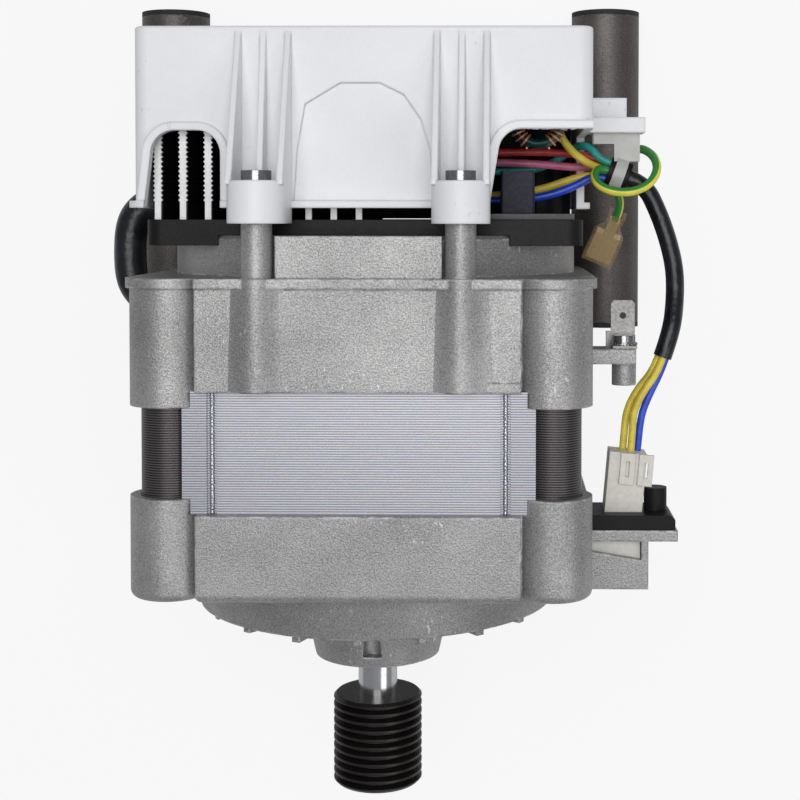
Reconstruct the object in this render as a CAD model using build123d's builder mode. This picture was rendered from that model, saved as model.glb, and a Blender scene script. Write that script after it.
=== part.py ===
from build123d import *
import math
import os

# Washing machine motor with its drive electronics under a plastic cover, in millimetres.
# It lies on its back. +Y runs along the shaft from the belt pulley to the electronics,
# +X is to the right and +Z is up. The origin is on the shaft axis, in the middle of the pulley.

# Motor frame, shared by the sheet stack and both cast shields
face_half = 58.0
flat_margin = 18.0
boss_radius = 10.0
drive_block_low = 52.7
drive_block_length = 21.6
stack_length = 30.4
rear_block_length = 27.9
collar_length = 10.4
overrun = 1.0
seat_gap = 0.15

# Stator sheets
stack_inset = 2.5
lamination_flat_margin = 14.4
lamination_corner_inset = 2.8
yoke_depth = 8.2
slot_count = 24
slot_opening_width = 2.4
slot_width = 4.4
tooth_tip_depth = 2.5
slot_depth = 11.5
weld_groove_inset = 7.4
weld_groove_width = 2.5
weld_groove_depth = 0.8
slot_liner = 0.2

# Stator winding overhangs
overhang_length = 17.0
overhang_gap = 1.5
overhang_round = 4.0

# Tie bolts
bolt_radius = 2.5
bolt_head_radius = 4.25
bolt_head_length = 5.0
bolt_sink = 5.6
bolt_thread_length = 20.0
bolt_hole_gap = 0.3

# Shield castings
shield_wall = 6.0
shield_floor = 4.0
shield_corner_round = 2.0
skirt_length = 3.9

# Drive end bell with its ribs and hub
bell_root_inset = 6.0
bell_rim_inset = 8.5
bell_height = 11.4
bell_wall = 4.0
bell_rim_height = 3.0
vent_rib_count = 18
vent_rib_width = 2.2
vent_rib_height = 8.5
vent_rib_drop = 2.0
vent_rib_turn = 1.2
hub_radius = 20.0
hub_neck_radius = 17.5
hub_neck_above_nose = 2.2
hub_nose_radius = 10.0
hub_shoulder = 4.4
hub_length = 30.4
hub_bore_radius = 7.2
hub_notch_radius = 2.6
hub_notch_above_nose = 7.8

# Connector bracket on the drive end shield, on its right side
bracket_front = 27.0
bracket_back = 8.0
plate_reach = 24.0
plate_thickness = 2.9
plate_low_above_block = 9.0
shroud_reach = 16.2
shroud_drop = 12.8
shroud_wall = 1.8
window_left_drop = 2.6
window_right_drop = 5.0
bracket_root = 1.0

# Rear shield
ledge_height = 2.5
ledge_proud = 1.0
collar_inset = 2.5
collar_wall = 5.5
collar_chamfer = 1.0
collar_pad_half = 20.5
collar_pad_proud = 0.2
end_wall = 6.0
end_recess_depth = 4.0
end_recess_radius = 17.0
post_place = 25.1
post_proud = 11.0
post_radius = 3.85
post_above_collar = 3.1
pilaster_radius = 5.0
pilaster_proud = 2.0
panel_recess_depth = 0.6
panel_recess_width = 9.0

# Mounting tubes of the rear shield
tube_beyond_face = 9.5
tube_radius = 10.5
tube_low_below_ledge = 17.6
tube_length = 95.0
bush_radius = 8.2
bush_flange = 1.5
bush_length = 22.0
sleeve_radius = 6.6
mount_bore_radius = 5.2

# Earth lug of the rear shield
lug_beyond_face = 9.5
lug_height = 27.0
lug_thickness = 3.9
lug_half_width = 5.0
lug_low_above_stack = 4.6
lug_reach = 12.3
lug_boss_radius = 3.2
lug_boss_length = 5.8
earth_screw_radius = 1.9
earth_head_radius = 3.0
earth_head_height = 1.9
earth_washer_radius = 3.4
earth_washer_height = 0.7
tab_width = 6.4
tab_thickness = 0.8
tab_height = 12.4
tab_hole_radius = 0.85
tab_hole_below_top = 4.1
tab_ear = 1.3
tab_corner = 0.8
tab_behind_screw = 4.5

# Shaft and rotor
pulley_length = 25.0
pulley_radius = 12.5
groove_count = 10
groove_pitch = 2.34
groove_depth = 2.2
groove_floor = 0.5
groove_land = 0.7
pulley_end_chamfer = 0.8
shaft_radius = 5.5
bearing_seat_radius = 6.0
shaft_core_radius = 8.0
shaft_tail_radius = 4.0
air_gap = 0.35
bar_count = 28
bar_radius = 1.6
bar_depth = 0.9
cage_ring_length = 6.3
cage_ring_width = 10.0
cage_blade_count = 7
cage_blade_length = 5.5
cage_blade_width = 2.4

# Bearings, the same size at both ends
bearing_outer_radius = 16.0
bearing_width = 10.0
ball_count = 7
ball_radius = 2.95
race_gap = 0.05
outer_race_inner_radius = 13.4
inner_race_outer_radius = 8.7
cage_thickness = 1.6
cage_half_width = 3.9
pocket_gap = 0.15
drive_bearing_seat_above_nose = 15.2
bearing_slide_gap = 0.02
spring_washer_sheet = 0.5
spring_washer_height = 1.2
spring_washer_width = 2.6

# Speed sensor at the rear shaft end
magnet_radius = 8.6
sensor_inner_radius = 9.6
sensor_radius = 16.0
sensor_length = 6.2
magnet_length = 5.0

# Electronics cover
cover_beyond_face = 0.3
cover_front = 44.0
cover_back = -31.0
cover_gap_above_tray = 3.0
cover_height = 46.0
cover_wall = 2.2
cover_corner = 3.5
cover_edge_round = 0.8
rim_height = 1.8
rim_proud = 1.6
cover_boss_radius = 7.2
cover_boss_length = 10.5
cover_screw_hole_radius = 2.1
fin_spread = 6.3
fin_thickness = 1.6
fin_proud = 15.0
fin_middle_proud = 7.0
fin_below_top = 1.2

# Openings in the cover walls
arch_inset = 5.4
arch_width = 17.0
arch_height = 19.6
arch_slope = 2.5
arch_round = 6.0
opening_width = 26.5
opening_height = 20.1
opening_slope = 3.4
opening_round = 6.0
opening_back = 2.0
lip_width = 2.0
lip_proud = 1.0
panel_half_width = 18.0
panel_height = 29.8
panel_depth = 0.7
lead_notch_low = -1.5
lead_notch_high = 10.5
lead_notch_height = 8.5

# Arm on the right wall of the cover, which holds the cable clip
arm_reach = 16.0
arm_low_above_rim = 20.8
arm_thickness = 4.2
arm_front = 13.0
arm_back = 3.0
arm_gusset = 8.0
arm_gusset_front = 12.0
tab_tower_width = 7.5
tab_tower_height = 10.0
tab_tower_depth = 3.0

# Cover screws
cover_screw_radius = 1.75
cover_screw_length = 20.0
cover_screw_head_radius = 3.75
cover_screw_head_height = 2.5
screw_hole_gap = 0.05

# Tray under the electronics
tray_inset = 2.3
tray_depth_inset = 2.5
tray_thickness = 4.0
tray_corner = 4.0
tray_skirt = 2.6
tray_skirt_wall = 1.6
tray_center_hole_radius = 19.0
chute_width = 3.0
chute_height = 8.0

# Heat sink and power module
fin_count = 9
fin_pitch = 6.45
heat_fin_thickness = 1.6
heat_fin_height = 23.0
heat_base_thickness = 4.0
heat_fin_inset = 5.3
heat_front_inset = 4.5
heat_back_inset = 5.0
heat_base_margin = 1.6
module_length = 44.0
module_depth = 26.0
module_height = 6.2
module_pin_count = 9
module_pin_width = 1.0

# Circuit board under the top of the cover
board_thickness = 1.6
board_inset = 3.8
board_depth_inset = 3.5
board_above_module = 5.8
board_post_radius = 3.0
board_post_inset = 6.0

# Choke: a ring core and two windings
choke_inset = 13.6
choke_below_front = 19.0
choke_below_board = 12.6
choke_ring_radius = 6.25
choke_half_thickness = 1.4
choke_half_width = 3.1
choke_wire = 0.55
choke_wire_gap = 0.1
choke_turns = 11
choke_turn_step = 12.4
choke_first_turn = 22.0
choke_lead_length = 1.4
choke_lead_bend = 1.6

# Other parts on the boards
can_radius = 6.0
can_length = 24.0
can_count = 2
can_pitch = 13.0
can_place = 14.0
can_front_inset = 19.0
filter_board_inset = 4.3
filter_board_front_inset = 8.0
filter_board_depth = 40.0
block_inset = 23.5
block_width = 9.0
block_height = 11.2
block_front_inset = 14.0
block_depth = 16.0
outlet_width = 5.0
outlet_height = 20.0
outlet_depth = 20.0
outlet_inset = 35.3

# Connector parts on the bracket
holder_thickness = 3.9
holder_margin = 0.6
holder_post_radius = 3.1
holder_post_height = 6.1
holder_post_inset = 4.5
plug_width = 10.0
plug_height = 16.0
plug_depth = 9.0
plug_lean = 5.0
plug_foot_inset = 4.9
latch_height = 4.2
latch_proud = 1.0
latch_width = 3.9
latch_spacing = 4.9
socket_gap = 0.2
socket_height = 9.0
socket_wall = 1.4
socket_way_depth = 7.0

# Cable clip
clip_foot_width = 12.0
clip_foot_height = 3.0
clip_head_width = 7.0
clip_head_height = 7.8
clip_head_shift = 3.2
clip_strap_width = 3.2
clip_strap_sheet = 1.0
clip_depth = 6.0
clip_gap = 0.1

# Wires, sleeves and their ends
wire_diameter = 2.2
plug_wire_diameter = 2.0
earth_wire_diameter = 2.4
harness_diameter = 5.0
phase_sleeve_diameter = 9.0
cuff_diameter = 8.4
cuff_length = 6.0
cuff_beyond_cover = 8.9
cuff_below_arm = 11.4
cuff_tilt = 20.0
receptacle_width = 7.2
receptacle_length = 9.0
receptacle_thickness = 2.6
receptacle_slot = 1.0
barrel_radius = 1.5
barrel_start = 2.0
barrel_length = 5.0
boot_gap = 0.2
boot_length = 16.5
boot_thickness = 4.6
boot_mouth_width = 5.2
boot_neck_width = 4.4
boot_body_width = 9.0
boot_neck_place = 2.5
boot_shoulder_place = 5.0
boot_body_place = 8.0

# Places across the shaft, worked out from the sizes above
flat_half = face_half - flat_margin
bolt_pitch_half = face_half - boss_radius
lamination_flat_half = face_half - lamination_flat_margin
stack_half = face_half - stack_inset
lamination_corner_radius = boss_radius - lamination_corner_inset
stator_bore_radius = stack_half - yoke_depth - slot_depth - tooth_tip_depth
shield_cavity_radius = face_half - shield_wall
bell_root_radius = face_half - bell_root_inset
bell_rim_radius = face_half - bell_rim_inset
collar_radius = face_half - collar_inset
collar_cavity_radius = collar_radius - collar_wall
panel_recess_from = flat_half - panel_recess_width
tube_place = face_half + tube_beyond_face
lug_place = face_half + lug_beyond_face
cover_half = face_half + cover_beyond_face
arch_left = arch_inset - cover_half
arch_right = arch_left + arch_width
opening_left = cover_half - opening_width
tray_half = cover_half - tray_inset
tray_front = cover_front - tray_depth_inset
tray_back = cover_back + tray_depth_inset
heat_first_fin = heat_fin_inset - cover_half
heat_front = cover_front - heat_front_inset
heat_back = cover_back + heat_back_inset
board_half = cover_half - board_inset
board_front = cover_front - board_depth_inset
board_back = cover_back + board_depth_inset
choke_place = cover_half - choke_inset
choke_height = cover_front - choke_below_front
can_height = cover_front - can_front_inset
filter_board_right = cover_half - filter_board_inset
filter_board_front = cover_front - filter_board_front_inset
filter_board_back = filter_board_front - filter_board_depth
block_left = cover_half - block_inset
block_front = cover_front - block_front_inset
outlet_left = cover_half - outlet_inset

# Places along the shaft, worked out from the lengths above
stack_low = drive_block_low + drive_block_length
stack_high = stack_low + stack_length
rear_block_high = stack_high + rear_block_length
collar_high = rear_block_high + collar_length
post_high = collar_high + post_above_collar
tray_high = collar_high + tray_thickness
cover_low = tray_high + cover_gap_above_tray
cover_high = cover_low + cover_height
nose_low = drive_block_low - hub_length
heat_base_low = tray_high + heat_fin_height
heat_base_high = heat_base_low + heat_base_thickness
module_high = heat_base_high + module_height
board_low = module_high + board_above_module
board_high = board_low + board_thickness
rim_low = drive_block_low - bell_height
drive_bearing_low = nose_low + drive_bearing_seat_above_nose
end_recess_low = collar_high - end_recess_depth
rear_bearing_high = end_recess_low - shield_floor + bearing_slide_gap - spring_washer_height
rear_bearing_low = rear_bearing_high - bearing_width
ball_pitch_radius = (outer_race_inner_radius + inner_race_outer_radius) / 2


def station(y):
    """Plane across the shaft at y. It faces the belt, with X and Z as its own axes."""
    return Plane(origin=(0, y, 0), x_dir=(1, 0, 0), z_dir=(0, -1, 0))


def block(xs, ys, zs, mode=Mode.ADD):
    """Box between pairs of limits, for use inside a part."""
    with Locations(((xs[0] + xs[1]) / 2, (ys[0] + ys[1]) / 2, (zs[0] + zs[1]) / 2)):
        Box(abs(xs[1] - xs[0]), abs(ys[1] - ys[0]), abs(zs[1] - zs[0]), mode=mode)


def rod(x, z, radius, low, high, mode=Mode.ADD):
    """Round bar along the shaft direction, for use inside a part."""
    with Locations(Location((x, (low + high) / 2, z), (90, 0, 0))):
        Cylinder(radius, high - low, mode=mode)


def turned(profile, mode=Mode.ADD):
    """Solid turned about the shaft axis from points of radius and place along the shaft."""
    with BuildSketch(Plane.XY) as section:
        with BuildLine():
            Polyline(*profile, close=True)
        make_face()
    revolve(section.sketch, axis=Axis.Y, mode=mode)


def keep(name, builder):
    """Labels a finished piece and writes its file."""
    builder.part.label = name
    export_step(builder.part, f"parts/{name}.step")


os.makedirs("parts", exist_ok=True)

# Outlines across the shaft, shared by the castings and the sheets
with BuildSketch() as shield_outline:
    Rectangle(2 * flat_half, 2 * face_half)
    Rectangle(2 * face_half, 2 * flat_half)
    Rectangle(2 * bolt_pitch_half, 2 * bolt_pitch_half)
    with GridLocations(2 * bolt_pitch_half, 2 * bolt_pitch_half, 2, 2):
        Circle(boss_radius)

with BuildSketch() as ledge_outline:
    Rectangle(2 * flat_half, 2 * (face_half + ledge_proud))
    Rectangle(2 * (face_half + ledge_proud), 2 * flat_half)
    Rectangle(2 * bolt_pitch_half, 2 * bolt_pitch_half)
    with GridLocations(2 * bolt_pitch_half, 2 * bolt_pitch_half, 2, 2):
        Circle(boss_radius + ledge_proud)


def lamination_outline(grow):
    """Outline of the sheets, made larger all round by grow."""
    with BuildSketch() as outline:
        Rectangle(2 * (lamination_flat_half + grow), 2 * (stack_half + grow))
        Rectangle(2 * (stack_half + grow), 2 * (lamination_flat_half + grow))
        Rectangle(2 * bolt_pitch_half, 2 * bolt_pitch_half)
        with GridLocations(2 * bolt_pitch_half, 2 * bolt_pitch_half, 2, 2):
            Circle(lamination_corner_radius + grow)
    return outline.sketch


lamination_face = lamination_outline(0)
lamination_clear = lamination_outline(seat_gap)

# Drive end shield: one aluminium casting with the bell, ribs, hub and connector bracket
plate_low = drive_block_low + plate_low_above_block
plate_high = plate_low + plate_thickness
plate_right = face_half + plate_reach
shroud_right = face_half + shroud_reach
shroud_low = plate_low - shroud_drop
bearing_pocket_radius = bearing_outer_radius + bearing_slide_gap

with BuildPart() as drive_end_shield:
    with BuildSketch(station(stack_low)):
        add(shield_outline.sketch)
    extrude(amount=drive_block_length)
    fillet(
        drive_end_shield.faces().sort_by(Axis.Y)[0].outer_wire().edges(),
        shield_corner_round,
    )
    with BuildSketch(station(stack_low)):
        with GridLocations(2 * bolt_pitch_half, 2 * bolt_pitch_half, 2, 2):
            Circle(boss_radius)
        add(lamination_clear, mode=Mode.SUBTRACT)
    extrude(amount=-skirt_length)
    rod(0, 0, shield_cavity_radius, drive_block_low + shield_floor, stack_low, Mode.SUBTRACT)
    rod(0, 0, bell_root_radius - bell_wall, drive_block_low, stack_low, Mode.SUBTRACT)
    turned(
        [
            (bell_root_radius, drive_block_low + shield_floor / 2),
            (bell_root_radius, drive_block_low),
            (bell_rim_radius, rim_low),
            (bell_rim_radius - bell_wall, rim_low),
            (bell_rim_radius - bell_wall, rim_low + bell_rim_height),
            (bell_root_radius - bell_wall, drive_block_low + shield_floor / 2),
        ]
    )
    rib_inner = hub_neck_radius - vent_rib_width
    rib_outer = bell_rim_radius - bell_wall / 2
    with Locations(station(rim_low - vent_rib_drop + vent_rib_height / 2)):
        with PolarLocations(
            (rib_inner + rib_outer) / 2, vent_rib_count, start_angle=90 + vent_rib_turn
        ):
            Box(rib_outer - rib_inner, vent_rib_width, vent_rib_height)
    turned(
        [
            (0, nose_low),
            (hub_nose_radius, nose_low),
            (hub_neck_radius, nose_low + hub_neck_above_nose),
            (hub_radius, drive_bearing_low - hub_shoulder / 2),
            (hub_radius, drive_bearing_low + bearing_width),
            (0, drive_bearing_low + bearing_width),
        ]
    )
    rod(
        0, 0, bearing_pocket_radius, drive_bearing_low, drive_bearing_low + bearing_width,
        Mode.SUBTRACT,
    )
    rod(0, 0, hub_bore_radius, nose_low, drive_bearing_low, Mode.SUBTRACT)
    with Locations(station(nose_low + hub_notch_above_nose)):
        with PolarLocations(hub_neck_radius, 1, start_angle=90):
            Cylinder(hub_notch_radius, 2 * hub_notch_radius, mode=Mode.SUBTRACT)
    block(
        (face_half - bracket_root, plate_right), (plate_low, plate_high),
        (bracket_back, bracket_front),
    )
    block(
        (face_half - bracket_root, shroud_right), (shroud_low, plate_low),
        (bracket_back, bracket_front),
    )
    block(
        (face_half, shroud_right - shroud_wall), (shroud_low, plate_low),
        (bracket_back + shroud_wall, bracket_front - shroud_wall), Mode.SUBTRACT,
    )
    with BuildSketch(Plane.XY.offset(bracket_front - shroud_wall)):
        with BuildLine():
            Polyline(
                (face_half, plate_low),
                (face_half, plate_low - window_left_drop),
                (shroud_right - shroud_wall, plate_low - window_right_drop),
                (shroud_right - shroud_wall, plate_low),
                close=True,
            )
        make_face()
    extrude(amount=shroud_wall, mode=Mode.SUBTRACT)
    for x in (-bolt_pitch_half, bolt_pitch_half):
        for z in (-bolt_pitch_half, bolt_pitch_half):
            rod(x, z, bolt_radius + bolt_hole_gap, drive_block_low, stack_low, Mode.SUBTRACT)
            rod(
                x, z, bolt_head_radius + bolt_hole_gap, drive_block_low,
                drive_block_low + bolt_sink, Mode.SUBTRACT,
            )
keep("drive_end_shield", drive_end_shield)

# Rear shield: the casting with the collar, cover posts, mounting tubes and earth lug
post_axis = cover_front + post_proud
rear_post_axis = cover_back - post_proud
tube_low = rear_block_high - tube_low_below_ledge
tube_high = tube_low + tube_length
tube_depth = tube_radius - face_half
lug_low = stack_high + lug_low_above_stack
lug_high = lug_low + lug_thickness
lug_right = face_half + lug_reach
cavity_high = collar_high - end_wall

with BuildPart() as rear_end_shield:
    with BuildSketch(station(rear_block_high)):
        add(shield_outline.sketch)
    extrude(amount=rear_block_length)
    with BuildSketch(station(rear_block_high)):
        add(ledge_outline.sketch)
    extrude(amount=ledge_height)
    block(
        (-face_half, face_half), (rear_block_high - ledge_height, rear_block_high),
        (-face_half - ledge_proud - overrun, -face_half), Mode.SUBTRACT,
    )
    with BuildSketch(station(stack_high)):
        with GridLocations(2 * bolt_pitch_half, 2 * bolt_pitch_half, 2, 2):
            Circle(boss_radius)
        add(lamination_clear, mode=Mode.SUBTRACT)
    extrude(amount=skirt_length)
    rod(0, 0, collar_radius, rear_block_high, collar_high)
    chamfer(
        rear_end_shield.edges().filter_by(GeomType.CIRCLE).sort_by(Axis.Y)[-1], collar_chamfer
    )
    block(
        (-collar_pad_half, collar_pad_half), (rear_block_high, collar_high),
        (0, collar_radius + collar_pad_proud),
    )
    for x in (-post_place, post_place):
        rod(
            x, face_half + pilaster_proud - pilaster_radius, pilaster_radius, stack_high,
            rear_block_high,
        )
        rod(x, post_axis, post_radius, rear_block_high - ledge_height, post_high)
        rod(x, rear_post_axis, post_radius, rear_block_high - ledge_height, post_high)
    for x in (-tube_place, tube_place):
        rod(x, tube_depth, tube_radius, tube_low, tube_high)
    block(
        (face_half - bracket_root, lug_right), (lug_low, lug_high),
        (lug_height - lug_half_width, lug_height + lug_half_width),
    )
    rod(lug_place, lug_height, lug_boss_radius, lug_low - lug_boss_length, lug_low)
    rod(lug_place, lug_height, earth_screw_radius, lug_low, lug_high, Mode.SUBTRACT)
    rod(0, 0, shield_cavity_radius, stack_high, rear_block_high - ledge_height, Mode.SUBTRACT)
    rod(0, 0, collar_cavity_radius, rear_block_high - ledge_height, cavity_high, Mode.SUBTRACT)
    rod(0, 0, hub_radius, rear_bearing_low, cavity_high)
    rod(0, 0, bearing_pocket_radius, rear_bearing_low,
        rear_bearing_high + spring_washer_height, Mode.SUBTRACT)
    rod(0, 0, hub_bore_radius, rear_bearing_low, collar_high, Mode.SUBTRACT)
    rod(0, 0, end_recess_radius, end_recess_low, collar_high, Mode.SUBTRACT)
    for x in (-tube_place, tube_place):
        rod(x, tube_depth, bush_radius, tube_low, tube_high, Mode.SUBTRACT)
        rod(
            x, tube_depth, tube_radius + seat_gap, tube_low - bush_flange - seat_gap, tube_low,
            Mode.SUBTRACT,
        )
    for x in (-bolt_pitch_half, bolt_pitch_half):
        for z in (-bolt_pitch_half, bolt_pitch_half):
            rod(x, z, bolt_radius, stack_high, stack_high + bolt_thread_length, Mode.SUBTRACT)
    for x in (-post_place, post_place):
        for z in (post_axis, rear_post_axis):
            rod(
                x, z, cover_screw_radius, post_high - cover_screw_length + cover_boss_length,
                post_high, Mode.SUBTRACT,
            )
    block(
        (panel_recess_from, flat_half), (stack_high + ledge_height, rear_block_high - ledge_height),
        (face_half - panel_recess_depth, face_half + overrun), Mode.SUBTRACT,
    )
keep("rear_end_shield", rear_end_shield)

# Stator stack: welded steel sheets with slots for the winding
slot_inner = stator_bore_radius + tooth_tip_depth
slot_middle = slot_inner + slot_depth / 2
weld_groove_place = lamination_flat_half - weld_groove_inset

with BuildPart() as stator_stack:
    with BuildSketch(station(stack_high)):
        add(lamination_face)
        Circle(stator_bore_radius, mode=Mode.SUBTRACT)
        with PolarLocations(slot_middle, slot_count):
            Rectangle(slot_depth, slot_width, mode=Mode.SUBTRACT)
        with PolarLocations(stator_bore_radius + tooth_tip_depth / 2, slot_count):
            Rectangle(tooth_tip_depth + slot_liner, slot_opening_width, mode=Mode.SUBTRACT)
        for turn in range(4):
            with Locations(Location((0, 0, 0), (0, 0, 90 * turn))):
                with Locations((-weld_groove_place, stack_half), (weld_groove_place, stack_half)):
                    Rectangle(weld_groove_width, 2 * weld_groove_depth, mode=Mode.SUBTRACT)
        with GridLocations(2 * bolt_pitch_half, 2 * bolt_pitch_half, 2, 2):
            Circle(bolt_radius + bolt_hole_gap, mode=Mode.SUBTRACT)
    extrude(amount=stack_length)
keep("stator_stack", stator_stack)

# Stator winding: bars of copper in the slots and a bound overhang at each end
slot_bar_width = slot_width - 2 * slot_liner
slot_bar_depth = slot_depth - 2 * slot_liner

with BuildPart() as stator_winding:
    with BuildSketch(station(stack_high + 2 * overhang_gap)):
        with PolarLocations(slot_middle, slot_count):
            Rectangle(slot_bar_depth, slot_bar_width)
    extrude(amount=stack_length + 4 * overhang_gap)
    for low, high in (
        (stack_low - overhang_length, stack_low - overhang_gap),
        (stack_high + overhang_gap, stack_high + overhang_length),
    ):
        with BuildSketch(Plane.XY):
            with Locations((slot_middle, (low + high) / 2)):
                RectangleRounded(slot_bar_depth, high - low, overhang_round)
        revolve(axis=Axis.Y)
keep("stator_winding", stator_winding)

# Tie bolts: four long screws from the drive end shield into the rear shield
with BuildPart() as tie_bolts:
    for x in (-bolt_pitch_half, bolt_pitch_half):
        for z in (-bolt_pitch_half, bolt_pitch_half):
            rod(x, z, bolt_radius, drive_block_low + bolt_sink, stack_high + bolt_thread_length)
            rod(
                x, z, bolt_head_radius, drive_block_low + bolt_sink - bolt_head_length,
                drive_block_low + bolt_sink,
            )
    with BuildSketch(station(drive_block_low + bolt_sink - bolt_head_length)):
        with GridLocations(2 * bolt_pitch_half, 2 * bolt_pitch_half, 2, 2):
            RegularPolygon(bolt_head_radius / 2, 6)
    extrude(amount=-bolt_head_length / 2, mode=Mode.SUBTRACT)
keep("tie_bolts", tie_bolts)

# Mounting bushes: a flanged rubber bush at each tube end and one steel sleeve right through
for side, x in (("left", -tube_place), ("right", tube_place)):
    for end, mouth, inward in (("lower", tube_low, 1), ("upper", tube_high, -1)):
        tip = mouth + inward * bush_length
        lip = mouth - inward * bush_flange
        with BuildPart() as bush:
            rod(x, tube_depth, bush_radius, min(tip, mouth), max(tip, mouth))
            rod(x, tube_depth, tube_radius, min(lip, mouth), max(lip, mouth))
            rod(x, tube_depth, sleeve_radius, min(tip, lip), max(tip, lip), Mode.SUBTRACT)
        keep(f"bush_{side}_{end}", bush)
    with BuildPart() as sleeve:
        rod(x, tube_depth, sleeve_radius, tube_low - bush_flange, tube_high + bush_flange)
        rod(
            x, tube_depth, mount_bore_radius, tube_low - bush_flange, tube_high + bush_flange,
            Mode.SUBTRACT,
        )
    keep(f"sleeve_{side}", sleeve)


def ring_about_shaft(inner, outer, low, high):
    """Ring about the shaft axis, for use inside a part."""
    turned([(inner, low), (outer, low), (outer, high), (inner, high)])


# Ball bearings: rings, balls and cage at each end of the shaft
for end, low in (("drive", drive_bearing_low), ("rear", rear_bearing_low)):
    middle = low + bearing_width / 2
    with BuildPart() as outer_ring:
        ring_about_shaft(
            outer_race_inner_radius, bearing_outer_radius, low, low + bearing_width
        )
        with BuildSketch(Plane.XY):
            with Locations((ball_pitch_radius, middle)):
                Circle(ball_radius + race_gap)
        revolve(axis=Axis.Y, mode=Mode.SUBTRACT)
    keep(f"{end}_bearing_outer_ring", outer_ring)
    with BuildPart() as inner_ring:
        ring_about_shaft(
            bearing_seat_radius, inner_race_outer_radius, low, low + bearing_width
        )
        with BuildSketch(Plane.XY):
            with Locations((ball_pitch_radius, middle)):
                Circle(ball_radius + race_gap)
        revolve(axis=Axis.Y, mode=Mode.SUBTRACT)
    keep(f"{end}_bearing_inner_ring", inner_ring)
    with BuildPart() as balls:
        with Locations(station(middle)):
            with PolarLocations(ball_pitch_radius, ball_count):
                Sphere(ball_radius)
    keep(f"{end}_bearing_balls", balls)
    with BuildPart() as ball_cage:
        ring_about_shaft(
            ball_pitch_radius - cage_thickness / 2, ball_pitch_radius + cage_thickness / 2,
            middle - cage_half_width, middle + cage_half_width,
        )
        with Locations(station(middle)):
            with PolarLocations(ball_pitch_radius, ball_count):
                Cylinder(
                    ball_radius + pocket_gap, 4 * cage_thickness, rotation=(0, 90, 0),
                    mode=Mode.SUBTRACT,
                )
    keep(f"{end}_bearing_cage", ball_cage)

# Spring washer that loads the rear bearing
with BuildPart() as wave_washer:
    washer_outer = bearing_outer_radius
    washer_inner = washer_outer - spring_washer_width
    washer_high = rear_bearing_high + spring_washer_height
    turned(
        [
            (washer_inner, washer_high - spring_washer_sheet),
            (washer_outer, rear_bearing_high),
            (washer_outer, rear_bearing_high + spring_washer_sheet),
            (washer_inner, washer_high),
        ]
    )
keep("wave_washer", wave_washer)

# Shaft: turned steel, pulley seat, two bearing seats, core and sensor seat
magnet_low = end_recess_low + seat_gap
shaft_high = magnet_low + magnet_length

with BuildPart() as shaft:
    turned(
        [
            (0, -pulley_length / 2),
            (shaft_radius, -pulley_length / 2),
            (shaft_radius, drive_bearing_low - overrun),
            (bearing_seat_radius, drive_bearing_low - overrun),
            (bearing_seat_radius, drive_bearing_low + bearing_width),
            (shaft_core_radius, drive_bearing_low + bearing_width),
            (shaft_core_radius, rear_bearing_low),
            (bearing_seat_radius, rear_bearing_low),
            (bearing_seat_radius, rear_bearing_high),
            (shaft_tail_radius, rear_bearing_high),
            (shaft_tail_radius, shaft_high),
            (0, shaft_high),
        ]
    )
keep("shaft", shaft)

# Rotor core: steel sheets with closed slots for the cage bars
rotor_radius = stator_bore_radius - air_gap
bar_pitch_radius = rotor_radius - bar_depth - bar_radius

with BuildPart() as rotor_core:
    with BuildSketch(station(stack_high)):
        Circle(rotor_radius)
        Circle(shaft_core_radius, mode=Mode.SUBTRACT)
        with PolarLocations(bar_pitch_radius, bar_count):
            Circle(bar_radius, mode=Mode.SUBTRACT)
    extrude(amount=stack_length)
keep("rotor_core", rotor_core)

# Rotor cage: cast aluminium bars, end rings and small fan blades
cage_outer = bar_pitch_radius + bar_radius + bar_depth / 2
cage_ring_inner_radius = cage_outer - cage_ring_width
cage_middle = (cage_outer + cage_ring_inner_radius) / 2

with BuildPart() as rotor_cage:
    with BuildSketch(station(stack_high)):
        with PolarLocations(bar_pitch_radius, bar_count):
            Circle(bar_radius)
    extrude(amount=stack_length)
    ring_about_shaft(cage_ring_inner_radius, cage_outer, stack_low - cage_ring_length, stack_low)
    ring_about_shaft(cage_ring_inner_radius, cage_outer, stack_high, stack_high + cage_ring_length)
    for middle in (
        stack_low - cage_ring_length - cage_blade_length / 2,
        stack_high + cage_ring_length + cage_blade_length / 2,
    ):
        with Locations(station(middle)):
            with PolarLocations(cage_middle, cage_blade_count):
                Box(cage_outer - cage_ring_inner_radius - overrun, cage_blade_width,
                    cage_blade_length)
keep("rotor_cage", rotor_cage)

# Belt pulley with its long ribs
first_groove = -groove_pitch * groove_count / 2
pulley_profile = [
    (shaft_radius, -pulley_length / 2),
    (pulley_radius - pulley_end_chamfer, -pulley_length / 2),
    (pulley_radius, pulley_end_chamfer - pulley_length / 2),
]
for groove in range(groove_count):
    low = first_groove + groove * groove_pitch
    pulley_profile.append((pulley_radius, low + groove_land / 2))
    pulley_profile.append((pulley_radius - groove_depth, low + (groove_pitch - groove_floor) / 2))
    pulley_profile.append((pulley_radius - groove_depth, low + (groove_pitch + groove_floor) / 2))
    pulley_profile.append((pulley_radius, low + groove_pitch - groove_land / 2))
pulley_profile.append((pulley_radius, pulley_length / 2 - pulley_end_chamfer))
pulley_profile.append((pulley_radius - pulley_end_chamfer, pulley_length / 2))
pulley_profile.append((shaft_radius, pulley_length / 2))

with BuildPart() as pulley:
    turned(pulley_profile)
keep("pulley", pulley)

# Speed sensor: a magnet on the shaft end inside a fixed pick-up coil
with BuildPart() as speed_magnet:
    ring_about_shaft(shaft_tail_radius, magnet_radius, magnet_low, shaft_high)
keep("speed_magnet", speed_magnet)

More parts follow.
